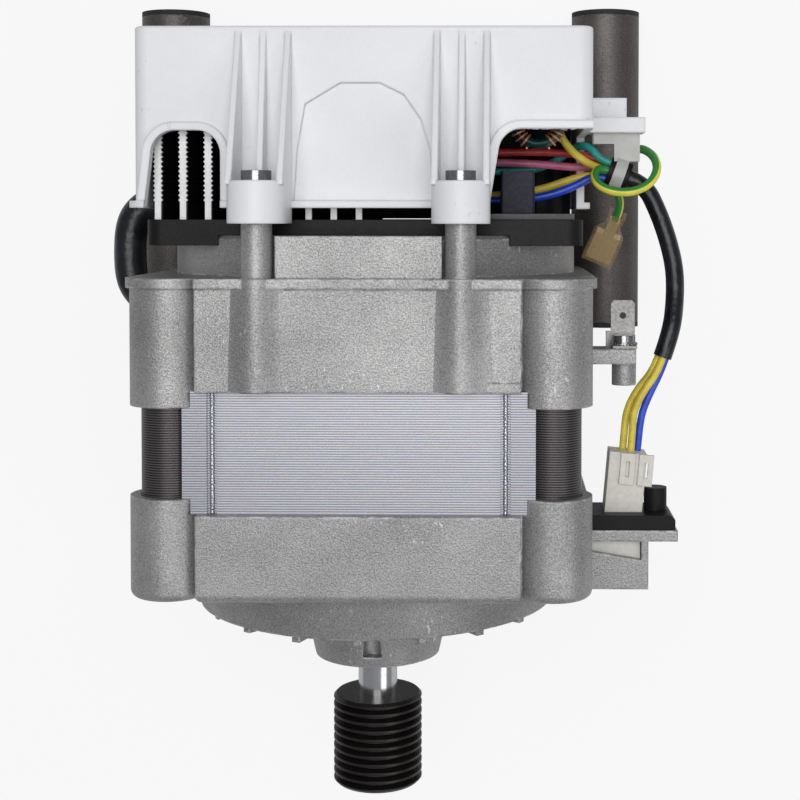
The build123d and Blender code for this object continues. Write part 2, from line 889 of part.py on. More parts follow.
with BuildPart() as sensor_coil:
    ring_about_shaft(
        sensor_inner_radius, sensor_radius, end_recess_low, end_recess_low + sensor_length
    )
keep("sensor_coil", sensor_coil)

# Electronics cover: one moulding, open towards the motor
cover_middle = (cover_front + cover_back) / 2
cover_depth = cover_front - cover_back
arch_high = cover_low + arch_height
opening_high = cover_low + opening_height
arm_low = cover_low + arm_low_above_rim
arm_high = arm_low + arm_thickness
arm_right = cover_half + arm_reach
boss_low = post_high
boss_high = post_high + cover_boss_length


def arch_outline(grow):
    """Arched cut-out of the front wall, made larger all round by grow."""
    with BuildSketch() as outline:
        with BuildLine():
            FilletPolyline(
                (arch_left - grow - arch_slope, cover_low - overrun),
                (arch_left - grow, arch_high + grow),
                (arch_right + grow, arch_high + grow),
                (arch_right + grow, cover_low - overrun),
                radius=[0, arch_round + grow, arch_round + grow, 0],
                close=True,
            )
        make_face()
    return outline.sketch


def opening_outline(grow, right):
    """Wire opening of the front wall, open to its right end."""
    with BuildSketch() as outline:
        with BuildLine():
            FilletPolyline(
                (opening_left - grow, cover_low - overrun),
                (opening_left - grow + opening_slope, opening_high + grow),
                (right, opening_high + grow),
                (right, cover_low - overrun),
                radius=[0, opening_round + grow, 0, 0],
                close=True,
            )
        make_face()
    return outline.sketch


arch_hole = arch_outline(0)
arch_lip = arch_outline(lip_width)
opening_hole = opening_outline(0, cover_half + rim_proud + overrun)
opening_lip = opening_outline(lip_width, cover_half)

# The shallow panel on the front wall, between the two screw bosses
panel_outline_shares = [
    (-0.97, 0.0),
    (-0.92, 0.44),
    (-0.81, 0.82),
    (-0.31, 1.0),
    (0.24, 1.0),
    (0.58, 0.9),
    (0.82, 0.69),
    (0.95, 0.43),
    (1.0, 0.0),
]

with BuildPart() as electronics_cover:
    with BuildSketch(station(cover_high)):
        with Locations((0, cover_middle)):
            RectangleRounded(2 * cover_half, cover_depth, cover_corner)
    extrude(amount=cover_height)
    fillet(
        electronics_cover.faces().sort_by(Axis.Y)[-1].outer_wire().edges(), cover_edge_round
    )
    with BuildSketch(station(cover_low + rim_height)):
        with Locations((0, cover_middle)):
            RectangleRounded(
                2 * (cover_half + rim_proud), cover_depth + 2 * rim_proud,
                cover_corner + rim_proud,
            )
    extrude(amount=rim_height)
    for x in (-post_place, post_place):
        for axis, wall, out in (
            (post_axis, cover_front, 1),
            (rear_post_axis, cover_back, -1),
        ):
            rod(x, axis, cover_boss_radius, boss_low, boss_high)
            block(
                (x - cover_boss_radius, x + cover_boss_radius), (boss_low, boss_high),
                (wall - out * cover_wall, axis),
            )
            for place, proud in (
                (-fin_spread, fin_proud),
                (0, fin_middle_proud),
                (fin_spread, fin_proud),
            ):
                with BuildSketch(Plane.YZ.offset(x + place - fin_thickness / 2)):
                    with BuildLine():
                        Polyline(
                            (boss_high - overrun, wall - out * overrun),
                            (boss_high - overrun, wall + out * proud),
                            (boss_high, wall + out * proud),
                            (cover_high - fin_below_top, wall),
                            (cover_high - fin_below_top, wall - out * overrun),
                            close=True,
                        )
                    make_face()
                extrude(amount=fin_thickness)
    with BuildSketch(Plane.XY.offset(cover_front)):
        add(arch_lip)
        with Locations((0, cover_low - overrun)):
            Rectangle(4 * cover_half, 2 * overrun, mode=Mode.SUBTRACT)
    extrude(amount=lip_proud)
    with BuildSketch(Plane.XY.offset(cover_front)):
        add(opening_lip)
        with Locations((0, cover_low - overrun)):
            Rectangle(4 * cover_half, 2 * overrun, mode=Mode.SUBTRACT)
    extrude(amount=lip_proud)
    block(
        (-cover_half + cover_wall, cover_half - cover_wall), (cover_low - overrun,
        cover_high - cover_wall), (cover_back + cover_wall, cover_front - cover_wall),
        Mode.SUBTRACT,
    )
    block(
        (-cover_half - overrun, cover_half + overrun), (boss_low, cover_low),
        (cover_back, cover_front), Mode.SUBTRACT,
    )
    with BuildSketch(Plane.XY.offset(cover_front - cover_wall - overrun)):
        add(arch_hole)
        add(opening_hole)
    extrude(amount=cover_wall + overrun + rim_proud + lip_proud, mode=Mode.SUBTRACT)
    block(
        (cover_half - cover_wall - overrun, cover_half + rim_proud + overrun),
        (cover_low - overrun, opening_high), (opening_back, cover_front + rim_proud + overrun),
        Mode.SUBTRACT,
    )
    block(
        (-cover_half - rim_proud - overrun, -cover_half + cover_wall + overrun),
        (cover_low - overrun, cover_low + lead_notch_height), (lead_notch_low, lead_notch_high),
        Mode.SUBTRACT,
    )
    with BuildSketch(Plane.XY.offset(cover_front - panel_depth)):
        with BuildLine():
            Polyline(
                *[
                    (across * panel_half_width, cover_low + rim_height + up * panel_height)
                    for across, up in panel_outline_shares
                ],
                close=True,
            )
        make_face()
    extrude(amount=panel_depth + overrun, mode=Mode.SUBTRACT)
    block((cover_half - cover_wall, arm_right), (arm_low, arm_high), (arm_back, arm_front))
    with BuildSketch(Plane.XY.offset(arm_gusset_front)):
        with BuildLine():
            Polyline(
                (cover_half - overrun, arm_high - overrun),
                (cover_half - overrun, arm_high + arm_gusset / 2),
                (cover_half + arm_gusset / 2, arm_high - overrun),
                close=True,
            )
        make_face()
    extrude(amount=arm_back - arm_gusset_front)
    block(
        (cover_half - overrun, cover_half + arm_gusset / 2 + tab_tower_width),
        (arm_high - overrun, arm_low + tab_tower_height),
        (arm_back, arm_back + tab_tower_depth),
    )
    for x in (-1, 1):
        for z in (cover_front - cover_wall - board_post_inset,
                  cover_back + cover_wall + board_post_inset):
            rod(
                x * (cover_half - cover_wall - board_post_inset), z, board_post_radius,
                board_high, cover_high - cover_wall / 2,
            )
    for x in (-post_place, post_place):
        for z in (post_axis, rear_post_axis):
            rod(x, z, cover_screw_hole_radius, boss_low, boss_high, Mode.SUBTRACT)
keep("electronics_cover", electronics_cover)

# Cover screws: four pan head screws through the cover bosses into the cast posts
with BuildPart() as cover_screws:
    for x in (-post_place, post_place):
        for z in (post_axis, rear_post_axis):
            rod(
                x, z, cover_screw_radius - screw_hole_gap, boss_high - cover_screw_length,
                boss_high,
            )
            rod(x, z, cover_screw_head_radius, boss_high, boss_high + cover_screw_head_height)
            block(
                (x - cover_screw_head_radius / 2, x + cover_screw_head_radius / 2),
                (boss_high + cover_screw_head_height / 2, boss_high + cover_screw_head_height),
                (z - cover_screw_radius / 4, z + cover_screw_radius / 4), Mode.SUBTRACT,
            )
            block(
                (x - cover_screw_radius / 4, x + cover_screw_radius / 4),
                (boss_high + cover_screw_head_height / 2, boss_high + cover_screw_head_height),
                (z - cover_screw_head_radius / 2, z + cover_screw_head_radius / 2),
                Mode.SUBTRACT,
            )
keep("cover_screws", cover_screws)

# Tray: black plastic, between the end wall of the motor and the electronics
tray_middle = (tray_front + tray_back) / 2
tray_depth = tray_front - tray_back
chute_outer = -tray_half - cover_wall

with BuildPart() as electronics_tray:
    with BuildSketch(station(tray_high)):
        with Locations((0, tray_middle)):
            RectangleRounded(2 * tray_half, tray_depth, tray_corner)
        Circle(tray_center_hole_radius, mode=Mode.SUBTRACT)
    extrude(amount=tray_thickness)
    with BuildSketch(station(collar_high)):
        with Locations((0, tray_middle)):
            RectangleRounded(2 * tray_half, tray_depth, tray_corner)
            RectangleRounded(
                2 * (tray_half - tray_skirt_wall), tray_depth - 2 * tray_skirt_wall,
                tray_corner - tray_skirt_wall, mode=Mode.SUBTRACT,
            )
        Circle(collar_radius + seat_gap, mode=Mode.SUBTRACT)
        with Locations((-post_place, post_axis), (post_place, post_axis),
                       (-post_place, rear_post_axis), (post_place, rear_post_axis)):
            Circle(post_radius + seat_gap, mode=Mode.SUBTRACT)
    extrude(amount=tray_skirt)
    block(
        (chute_outer, chute_outer + chute_width), (tray_high - overrun, tray_high + chute_height),
        (lead_notch_low + seat_gap, lead_notch_high - seat_gap),
    )
keep("electronics_tray", electronics_tray)

# Heat sink: an aluminium extrusion, its fins standing on the tray
heat_left = heat_first_fin - heat_fin_thickness / 2
heat_right = heat_first_fin + (fin_count - 1) * fin_pitch + heat_fin_thickness / 2

with BuildPart() as heat_sink:
    block(
        (heat_left, heat_right + heat_base_margin), (heat_base_low, heat_base_high),
        (heat_back, heat_front),
    )
    for fin in range(fin_count):
        left = heat_left + fin * fin_pitch
        block(
            (left, left + heat_fin_thickness), (tray_high, heat_base_low),
            (heat_back, heat_front),
        )
keep("heat_sink", heat_sink)

# Power module: the six switches in one moulding, its pins going up to the board
module_middle = (heat_left + heat_right) / 2

with BuildPart() as power_module:
    block(
        (module_middle - module_length / 2, module_middle + module_length / 2),
        (heat_base_high, module_high), (-module_depth / 2, module_depth / 2),
    )
    pin_pitch = module_length / module_pin_count
    for pin in range(module_pin_count):
        x = module_middle + (pin - (module_pin_count - 1) / 2) * pin_pitch
        for z in (-module_depth / 2, module_depth / 2):
            block(
                (x - module_pin_width / 2, x + module_pin_width / 2),
                (module_high - overrun, board_low),
                (z - module_pin_width / 2, z + module_pin_width / 2),
            )
keep("power_module", power_module)

# Circuit board under the top of the cover
with BuildPart() as circuit_board:
    with BuildSketch(station(board_high)):
        with Locations((0, (board_front + board_back) / 2)):
            RectangleRounded(2 * board_half, board_front - board_back, cover_wall)
    extrude(amount=board_thickness)
keep("circuit_board", circuit_board)

# Choke core: a coated ring with its axis towards the front
choke_y = board_low - choke_below_board
choke_middle = Vector(choke_place, choke_y, choke_height)

with BuildPart() as choke_core:
    with BuildSketch(Plane(origin=choke_middle, x_dir=(1, 0, 0), z_dir=(0, -1, 0))):
        with Locations((choke_ring_radius, 0)):
            Ellipse(choke_half_thickness, choke_half_width)
    revolve(axis=Axis(choke_middle, (0, 0, 1)))
keep("choke_core", choke_core)

# Choke windings: one wire each, wound round the ring in even steps
straight_share = 1e-9
down = Vector(0, -1, 0)
wire_out = choke_half_thickness + choke_wire_gap + choke_wire / 2
wire_side = choke_half_width + choke_wire_gap + choke_wire / 2


def winding_point(quarter, first_angle, direction):
    """Point and direction of a winding after a number of quarter turns round the ring."""
    around = math.radians(first_angle + direction * choke_turn_step * quarter / 4)
    tilt = math.pi / 2 * quarter
    radius = choke_ring_radius + wire_out * math.cos(tilt)
    point = choke_middle + Vector(
        radius * math.cos(around), radius * math.sin(around), wire_side * math.sin(tilt)
    )
    swing = direction * math.radians(choke_turn_step) / (2 * math.pi)
    along = Vector(
        -wire_out * math.sin(tilt) * math.cos(around) - swing * radius * math.sin(around),
        -wire_out * math.sin(tilt) * math.sin(around) + swing * radius * math.cos(around),
        wire_side * math.cos(tilt),
    )
    return point, along.normalized()


def biarc(start, start_way, end, end_way):
    """Two tangent arcs between two points with given directions."""
    span = end - start
    ways = start_way + end_way
    a = 2 * (1 - start_way.dot(end_way))
    b = 2 * span.dot(ways)
    c = -span.dot(span)
    if a > straight_share:
        reach = (-b + math.sqrt(b * b - 4 * a * c)) / (2 * a)
    else:
        reach = -c / b
    first = start + start_way * reach
    second = end - end_way * reach
    joint = (first + second) * 0.5
    TangentArc(start, joint, tangent=start_way)
    TangentArc(joint, end, tangent=second - first)


def least_gap(points, diameter, skip):
    """Least gap of a wire to itself, between points more than skip places apart."""
    least = float("inf")
    for i, one in enumerate(points):
        for other in points[i + skip:]:
            least = min(least, (one - other).length)
    return least - diameter


for side, first_angle, direction in (
    ("left", 90 + choke_first_turn, 1),
    ("right", 90 - choke_first_turn, -1),
):
    with BuildPart() as choke_winding:
        with BuildLine() as wire_path:
            start, start_way = winding_point(0, first_angle, direction)
            bend_top = start + (down * -1 - start_way) * choke_lead_bend
            Line(Vector(bend_top.X, board_low, bend_top.Z), bend_top)
            biarc(bend_top, down, start, start_way)
            for quarter in range(1, 4 * choke_turns + 1):
                end, end_way = winding_point(quarter, first_angle, direction)
                biarc(start, start_way, end, end_way)
                start, start_way = end, end_way
            Line(start, start + start_way * choke_lead_length)
        wire = wire_path.wire()
        with BuildSketch(Plane(origin=wire @ 0, z_dir=down)):
            Circle(choke_wire / 2)
        sweep(path=wire)
    keep(f"choke_winding_{side}", choke_winding)
    length = wire.length
    count = 40 * choke_turns
    trail = [wire @ (i / count) for i in range(count + 1)]
    print(
        "choke winding", side, "length", round(length, 2), "volume share",
        round(choke_winding.part.volume / (math.pi * choke_wire**2 / 4 * length), 4),
        "least gap", round(least_gap(trail, choke_wire, 20), 3),
    )

# Bulk capacitors: two cans hanging from the board
with BuildPart() as bulk_capacitors:
    for can in range(can_count):
        rod(
            can_place, can_height - can * can_pitch, can_radius, board_low - can_length,
            board_low,
        )
keep("bulk_capacitors", bulk_capacitors)

# Filter board on the tray, with the blue capacitor block, a relay and the wire outlet
filter_board_high = tray_high + board_thickness

with BuildPart() as filter_board:
    block(
        (outlet_left, filter_board_right), (tray_high, filter_board_high),
        (filter_board_back, filter_board_front),
    )
keep("filter_board", filter_board)

with BuildPart() as film_capacitor:
    block(
        (block_left, block_left + block_width),
        (filter_board_high, filter_board_high + block_height),
        (block_front - block_depth, block_front),
    )
    fillet(film_capacitor.edges().filter_by(Axis.Y), board_thickness / 2)
keep("film_capacitor", film_capacitor)

with BuildPart() as wire_outlet:
    block(
        (outlet_left, outlet_left + outlet_width),
        (filter_board_high, filter_board_high + outlet_height),
        (filter_board_back + overrun, filter_board_back + overrun + outlet_depth),
    )
keep("wire_outlet", wire_outlet)

# Earth tab on the lug: a flat blade bent up from its foot, with a screw through the foot
tab_foot_high = lug_high + tab_thickness
tab_back = lug_height - tab_behind_screw

with BuildPart() as earth_tab:
    block(
        (lug_place - tab_width / 2, lug_place + tab_width / 2), (lug_high, tab_foot_high),
        (tab_back, lug_height + earth_washer_radius),
    )
    block(
        (lug_place - tab_width / 2, lug_place + tab_width / 2), (lug_high, lug_high + tab_height),
        (tab_back, tab_back + tab_thickness),
    )
    block(
        (lug_place - tab_width / 2 - tab_ear, lug_place), (lug_high,
        lug_high + tab_height / 3), (tab_back, tab_back + tab_thickness),
    )
    rod(
        lug_place, lug_height, earth_screw_radius + screw_hole_gap, lug_high, tab_foot_high,
        Mode.SUBTRACT,
    )
    with Locations((lug_place, lug_high + tab_height - tab_hole_below_top, tab_back)):
        Cylinder(tab_hole_radius, 4 * tab_thickness, mode=Mode.SUBTRACT)
    chamfer(
        earth_tab.edges().filter_by(Axis.Z).group_by(Axis.Y)[-1], tab_corner
    )
keep("earth_tab", earth_tab)

with BuildPart() as earth_screw:
    rod(
        lug_place, lug_height, earth_screw_radius - screw_hole_gap, lug_low, tab_foot_high
    )
    rod(
        lug_place, lug_height, earth_washer_radius, tab_foot_high,
        tab_foot_high + earth_washer_height,
    )
    rod(
        lug_place, lug_height, earth_head_radius, tab_foot_high + earth_washer_height,
        tab_foot_high + earth_washer_height + earth_head_height,
    )
keep("earth_screw", earth_screw)

# Connector holder on the bracket: a black foot with a round post
holder_right = plate_right - holder_margin
holder_high = plate_high + holder_thickness
post_x = holder_right - holder_post_inset
bracket_middle = (bracket_front + bracket_back) / 2

with BuildPart() as connector_holder:
    block(
        (face_half + seat_gap, holder_right), (plate_high, holder_high),
        (bracket_back + holder_margin, bracket_front - holder_margin),
    )
    chamfer(
        connector_holder.edges().filter_by(Axis.Z).group_by(Axis.X)[-1].sort_by(Axis.Y)[-1],
        holder_margin * 2,
    )
    rod(post_x, bracket_middle, holder_post_radius, holder_high, holder_high + holder_post_height)
keep("connector_holder", connector_holder)

# Harness plug: an ivory housing that leans a little, with two latches at its top
plug_left = face_half + plug_foot_inset
plug_plane = Plane(
    origin=(plug_left + plug_width / 2, holder_high, bracket_middle),
    x_dir=(math.cos(math.radians(plug_lean)), -math.sin(math.radians(plug_lean)), 0),
    z_dir=(0, 0, 1),
)

with BuildPart() as harness_plug:
    with BuildSketch(plug_plane.offset(-plug_depth / 2)):
        with BuildLine():
            lean = math.tan(math.radians(plug_lean)) * plug_width / 2
            Polyline(
                (-plug_width / 2, -lean),
                (-plug_width / 2, plug_height),
                (plug_width / 2, plug_height),
                (plug_width / 2, lean),
                close=True,
            )
        make_face()
    extrude(amount=plug_depth)
    with BuildSketch(plug_plane.offset(plug_depth / 2)):
        with Locations(
            (0, plug_height - latch_height), (latch_spacing, plug_height - latch_height)
        ):
            Rectangle(latch_width, 2 * latch_height)
    extrude(amount=latch_proud)
    with BuildSketch(plug_plane.offset(plug_depth / 2)):
        with Locations(
            (0, plug_height - latch_height), (latch_spacing, plug_height - latch_height)
        ):
            Rectangle(latch_proud, latch_height)
    extrude(amount=latch_proud, mode=Mode.SUBTRACT)
keep("harness_plug", harness_plug)

# Machine socket inside the shroud, open towards the belt
with BuildPart() as machine_socket:
    block(
        (face_half + socket_gap, shroud_right - shroud_wall - socket_gap),
        (plate_low - socket_height, plate_low),
        (bracket_back + shroud_wall + socket_gap, bracket_front - shroud_wall - socket_gap),
    )
    block(
        (face_half + socket_gap + socket_wall, shroud_right - shroud_wall - socket_gap
         - socket_wall),
        (plate_low - socket_height, plate_low - socket_height + socket_way_depth),
        (bracket_back + shroud_wall + socket_gap + socket_wall,
         bracket_front - shroud_wall - socket_gap - socket_wall), Mode.SUBTRACT,
    )
keep("machine_socket", machine_socket)

# Cuff of wound tape, where all the wires meet under the arm of the cover
cuff_radius = cuff_diameter / 2
cuff_way = Vector(math.cos(math.radians(cuff_tilt)), -math.sin(math.radians(cuff_tilt)), 0)
cuff_plane = Plane(
    origin=(
        cover_half + cuff_beyond_cover, arm_low - cuff_below_arm, (arm_front + arm_back) / 2
    ),
    x_dir=(0, 0, 1), z_dir=cuff_way,
)

with BuildPart() as harness_cuff:
    with BuildSketch(cuff_plane.offset(-cuff_length / 2)):
        Circle(cuff_radius)
    extrude(amount=cuff_length)
keep("harness_cuff", harness_cuff)

# Cable clip under the arm: a foot, a head and the strap round the cuff
clip_x = cover_half + arm_reach / 2
clip_z = (arm_front + arm_back) / 2

with BuildPart() as cable_clip:
    block(
        (clip_x - clip_foot_width / 2, clip_x + clip_foot_width / 2),
        (arm_low - clip_foot_height, arm_low), (clip_z - clip_depth / 2, clip_z + clip_depth / 2),
    )
    block(
        (clip_x + clip_head_shift - clip_head_width / 2,
         clip_x + clip_head_shift + clip_head_width / 2),
        (arm_low - clip_head_height, arm_low), (clip_z - clip_depth / 2, clip_z + clip_depth / 2),
    )
    with BuildSketch(cuff_plane.offset(-clip_strap_width / 2)):
        Circle(cuff_radius + clip_gap + clip_strap_sheet)
    extrude(amount=clip_strap_width)
    with BuildSketch(cuff_plane.offset(-clip_strap_width)):
        Circle(cuff_radius + clip_gap)
    extrude(amount=2 * clip_strap_width, mode=Mode.SUBTRACT)
keep("cable_clip", cable_clip)

# Route of the earth lead: out of the cuff, once round in a loop, and down behind it
earth_lead_route = [
    (64.38, 160.43, 10.6), (62.1, 161.26, 10.6), (60.2, 159.3, 12.6), (61.2, 156.5, 15.0),
    (65.0, 154.6, 16.4), (70.3, 154.4, 16.4), (75.2, 156.4, 15.4), (77.9, 160.6, 12.8),
    (77.2, 164.8, 8.4), (73.6, 167.4, 2.2), (69.0, 165.0, -0.6), (66.9, 159.8, -1.2),
    (67.6, 155.0, -0.4), (68.95, 150.87, -0.42), (67.37, 146.92, -3.05),
]

# Earth receptacle on the end of the earth lead, in its clear boot
lead_end = Vector(earth_lead_route[-1])
lead_way = (lead_end - Vector(earth_lead_route[-2])).normalized()
lead_side = Vector(-lead_way.Y, lead_way.X, 0)
receptacle_plane = Plane(
    origin=lead_end - lead_way * barrel_start, x_dir=lead_side,
    z_dir=lead_side.cross(lead_way),
)
barrel_end = barrel_start + barrel_length

with BuildPart() as earth_receptacle:
    with BuildSketch(receptacle_plane.offset(-receptacle_thickness / 2)):
        with Locations((0, barrel_end + receptacle_length / 2)):
            Rectangle(receptacle_width, receptacle_length)
        with Locations((0, barrel_start + barrel_length / 2)):
            Rectangle(2 * barrel_radius, barrel_length)
    extrude(amount=receptacle_thickness)
    with BuildSketch(receptacle_plane.offset(-receptacle_slot / 2)):
        with Locations((0, barrel_end + receptacle_length / 2 + receptacle_slot)):
            Rectangle(tab_width, receptacle_length)
    extrude(amount=receptacle_slot, mode=Mode.SUBTRACT)
keep("earth_receptacle", earth_receptacle)

with BuildPart() as receptacle_boot:
    with BuildSketch(receptacle_plane.offset(-boot_thickness / 2)):
        with BuildLine():
            Polyline(
                (-boot_mouth_width / 2, 0),
                (-boot_neck_width / 2, boot_neck_place),
                (-boot_neck_width / 2, boot_shoulder_place),
                (-boot_body_width / 2, boot_body_place),
                (-boot_body_width / 2, boot_length),
                (boot_body_width / 2, boot_length),
                (boot_body_width / 2, boot_body_place),
                (boot_neck_width / 2, boot_shoulder_place),
                (boot_neck_width / 2, boot_neck_place),
                (boot_mouth_width / 2, 0),
                close=True,
            )
        make_face()
    extrude(amount=boot_thickness)
    with BuildSketch(receptacle_plane.offset(-receptacle_thickness / 2 - boot_gap)):
        with Locations((0, (barrel_end - boot_gap + boot_length) / 2)):
            Rectangle(
                receptacle_width + 2 * boot_gap, boot_length - barrel_end + boot_gap
            )
        with Locations((0, (barrel_end - boot_gap) / 2)):
            Rectangle(2 * (barrel_radius + boot_gap), barrel_end - boot_gap)
    extrude(amount=receptacle_thickness + 2 * boot_gap, mode=Mode.SUBTRACT)
keep("receptacle_boot", receptacle_boot)


# How much of the shorter run an arc takes at each end
corner_share = 0.45


def corner_radii(points):
    """Largest smooth arc at each corner of a route."""
    radii = []
    for before, corner, after in zip(points, points[1:], points[2:]):
        run_in = Vector(corner) - Vector(before)
        run_out = Vector(after) - Vector(corner)
        turn = math.radians(run_in.get_angle(run_out))
        shorter = min(run_in.length, run_out.length)
        radii.append(corner_share * shorter / math.tan(turn / 2))
    return radii


def cord(name, points, diameter):
    """Round cord along its route: straight runs joined by tangent arcs."""
    radii = corner_radii(points)
    with BuildPart() as made_cord:
        with BuildLine() as route:
            FilletPolyline(*points, radius=radii)
        wire = route.wire()
        with BuildSketch(Plane(origin=points[0], z_dir=Vector(points[1]) - Vector(points[0]))):
            Circle(diameter / 2)
        sweep(path=wire)
    keep(name, made_cord)
    print(
        name, "length", round(wire.length, 1), "radii in diameters",
        [round(radius / diameter, 1) for radius in radii], "volume share",
        round(made_cord.part.volume / (math.pi * diameter**2 / 4 * wire.length), 4),
    )


# Sleeve round the motor leads, from the chute of the tray into the rear shield
cord(
    "phase_lead_sleeve",
    [
        (chute_outer, 152.0, 4.5),
        (-62.3, 152.0, 4.5),
        (-66.5, 149.4, 4.5),
        (-68.7, 145.2, 4.5),
        (-69.2, 138.0, 4.5),
        (-68.8, 130.5, 4.5),
        (-66.4, 126.2, 4.5),
        (-62.4, 123.2, 4.5),
        (-face_half, 123.2, 4.5),
    ],
    phase_sleeve_diameter,
)

# Wires from the outlet on the filter board, and one from the upper board, into the cuff
outlet_right = outlet_left + outlet_width
wire_routes = {
    "wire_blue": [
        (outlet_right, 152.1, 8.8), (37.0, 152.1, 8.8), (47.0, 153.2, 9.0), (55.0, 156.0, 9.2),
        (60.79, 159.34, 9.3), (63.61, 158.31, 9.3),
    ],
    "wire_yellow_lower": [
        (outlet_right, 153.6, 5.0), (36.0, 153.6, 5.0), (46.0, 155.3, 5.6), (55.0, 158.4, 6.3),
        (60.32, 159.51, 6.7), (63.61, 158.31, 6.7),
    ],
    "wire_pink": [
        (outlet_right, 162.8, 7.0), (36.0, 162.8, 7.0), (47.0, 162.3, 6.5), (56.0, 161.4, 5.8),
        (60.62, 161.8, 5.4), (64.38, 160.43, 5.4),
    ],
    "wire_red": [
        (outlet_right, 165.7, 3.2), (36.0, 165.7, 3.2), (48.0, 165.9, 4.0), (57.0, 165.0, 5.6),
        (61.39, 163.92, 6.7), (65.15, 162.55, 6.7),
    ],
    "wire_teal": [
        (outlet_right, 160.5, 0.2), (37.0, 160.5, 0.2), (45.5, 161.2, 0.4), (51.5, 164.0, 0.9),
        (55.6, 167.6, 3.6), (59.3, 167.4, 7.9), (62.14, 163.64, 9.3), (65.15, 162.55, 9.3),
    ],
    "wire_yellow_upper": [
        (50.0, board_low, 12.0), (50.0, 179.0, 12.0), (50.5, 171.0, 12.6), (53.6, 166.2, 12.6),
        (58.0, 162.9, 10.4), (61.1, 161.62, 8.0), (64.38, 160.43, 8.0),
    ],
}
for name, points in wire_routes.items():
    cord(name, points, wire_diameter)

# Harness in its black sleeve, from the cuff round to the plug, and the wires that leave it
cord(
    "harness_sleeve",
    [
        (70.02, 158.37, 8.0), (74.72, 156.66, 8.0), (78.2, 149.6, 8.4), (81.0, 141.6, 9.4),
        (82.8, 133.2, 10.8), (82.6, 124.6, 12.8), (81.2, 116.6, 16.5), (78.8, 109.8, 16.5),
    ],
    harness_diameter,
)
plug_wire_routes = {
    "plug_wire_yellow": [
        (78.8, 109.8, 17.7), (77.31, 105.58, 17.7), (73.6, 100.6, 17.8), (70.8, 94.8, 17.9),
        (70.63, 89.34, 18.0), (70.19, 84.36, 18.0),
    ],
    "plug_wire_yellow_rear": [
        (77.82, 110.15, 15.9), (76.33, 105.93, 15.9), (72.2, 101.1, 15.8), (69.2, 95.3, 15.8),
        (68.63, 89.52, 15.8), (68.2, 84.54, 15.8),
    ],
    "plug_wire_blue": [
        (79.78, 109.45, 15.9), (78.29, 105.24, 15.9), (75.6, 99.9, 15.8), (73.4, 94.6, 15.8),
        (72.62, 89.17, 15.8), (72.18, 84.19, 15.8),
    ],
}
for name, points in plug_wire_routes.items():
    cord(name, points, plug_wire_diameter)

# Earth lead from the cuff to its receptacle
cord("earth_lead", earth_lead_route, earth_wire_diameter)
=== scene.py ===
import math
import bpy
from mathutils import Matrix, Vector


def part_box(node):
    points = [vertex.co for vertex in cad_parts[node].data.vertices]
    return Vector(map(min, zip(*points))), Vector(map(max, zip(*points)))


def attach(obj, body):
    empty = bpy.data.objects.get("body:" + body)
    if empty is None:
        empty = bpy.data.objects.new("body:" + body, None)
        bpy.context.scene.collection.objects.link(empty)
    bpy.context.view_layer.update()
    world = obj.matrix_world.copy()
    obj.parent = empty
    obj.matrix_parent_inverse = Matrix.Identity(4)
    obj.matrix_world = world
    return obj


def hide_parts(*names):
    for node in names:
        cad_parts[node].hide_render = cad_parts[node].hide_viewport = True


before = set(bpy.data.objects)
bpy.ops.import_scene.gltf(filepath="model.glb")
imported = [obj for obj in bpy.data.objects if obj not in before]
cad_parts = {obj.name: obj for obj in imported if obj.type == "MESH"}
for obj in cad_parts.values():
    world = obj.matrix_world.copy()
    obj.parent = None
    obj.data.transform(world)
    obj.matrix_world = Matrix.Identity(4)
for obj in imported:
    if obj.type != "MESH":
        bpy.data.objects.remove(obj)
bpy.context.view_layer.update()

scene = bpy.context.scene
scene.view_settings.view_transform = "Standard"

# The camera looks straight down at the motor on its back, from a little over the right-hand
# end of the electronics cover.
eye = bpy.data.cameras.new("eye")
eye.lens = 65.57
eye.sensor_width = 36.0
eye.shift_x = -0.1
eye.shift_y = -0.18
eye.clip_start = 0.01
eye_object = bpy.data.objects.new("eye", eye)
eye_object.location = (0.03531, 0.14812, 0.41198)
eye_object.rotation_euler = (-0.02777, 0.01533, 0.00111)
scene.collection.objects.link(eye_object)
scene.camera = eye_object


# The insulated wires and sleeves. Each is an extruded plastic skin over copper, shiny where it
# bends, and takes its line from the route that it is laid along.
def shader(name, roughness=0.5, metallic=0.0):
    """New material with its Principled shader, ready for a colour."""
    made = bpy.data.materials.new(name)
    made.use_nodes = True
    principled = made.node_tree.nodes["Principled BSDF"]
    principled.inputs["Roughness"].default_value = roughness
    principled.inputs["Metallic"].default_value = metallic
    return made, made.node_tree, principled


def mottled(
    name, pale, dark, roughness, scale=220.0, detail=3.0, ends=(0.35, 0.65), strength=0.08,
    depth=0.0002,
):
    """Plastic with slow changes of shade, whose noise also stands out a little as a bump."""
    made, tree, principled = shader(name, roughness)
    place = tree.nodes.new("ShaderNodeTexCoord")
    noise = tree.nodes.new("ShaderNodeTexNoise")
    noise.inputs["Scale"].default_value = scale
    noise.inputs["Detail"].default_value = detail
    shade = tree.nodes.new("ShaderNodeValToRGB")
    for stop, position, color in zip(shade.color_ramp.elements, ends, (dark, pale)):
        stop.position = position
        stop.color = (*color, 1.0)
    bump = tree.nodes.new("ShaderNodeBump")
    bump.inputs["Strength"].default_value = strength
    bump.inputs["Distance"].default_value = depth
    tree.links.new(place.outputs["Object"], noise.inputs["Vector"])
    tree.links.new(noise.outputs["Fac"], shade.inputs["Fac"])
    tree.links.new(shade.outputs["Color"], principled.inputs["Base Color"])
    tree.links.new(noise.outputs["Fac"], bump.inputs["Height"])
    tree.links.new(bump.outputs["Normal"], principled.inputs["Normal"])
    return made


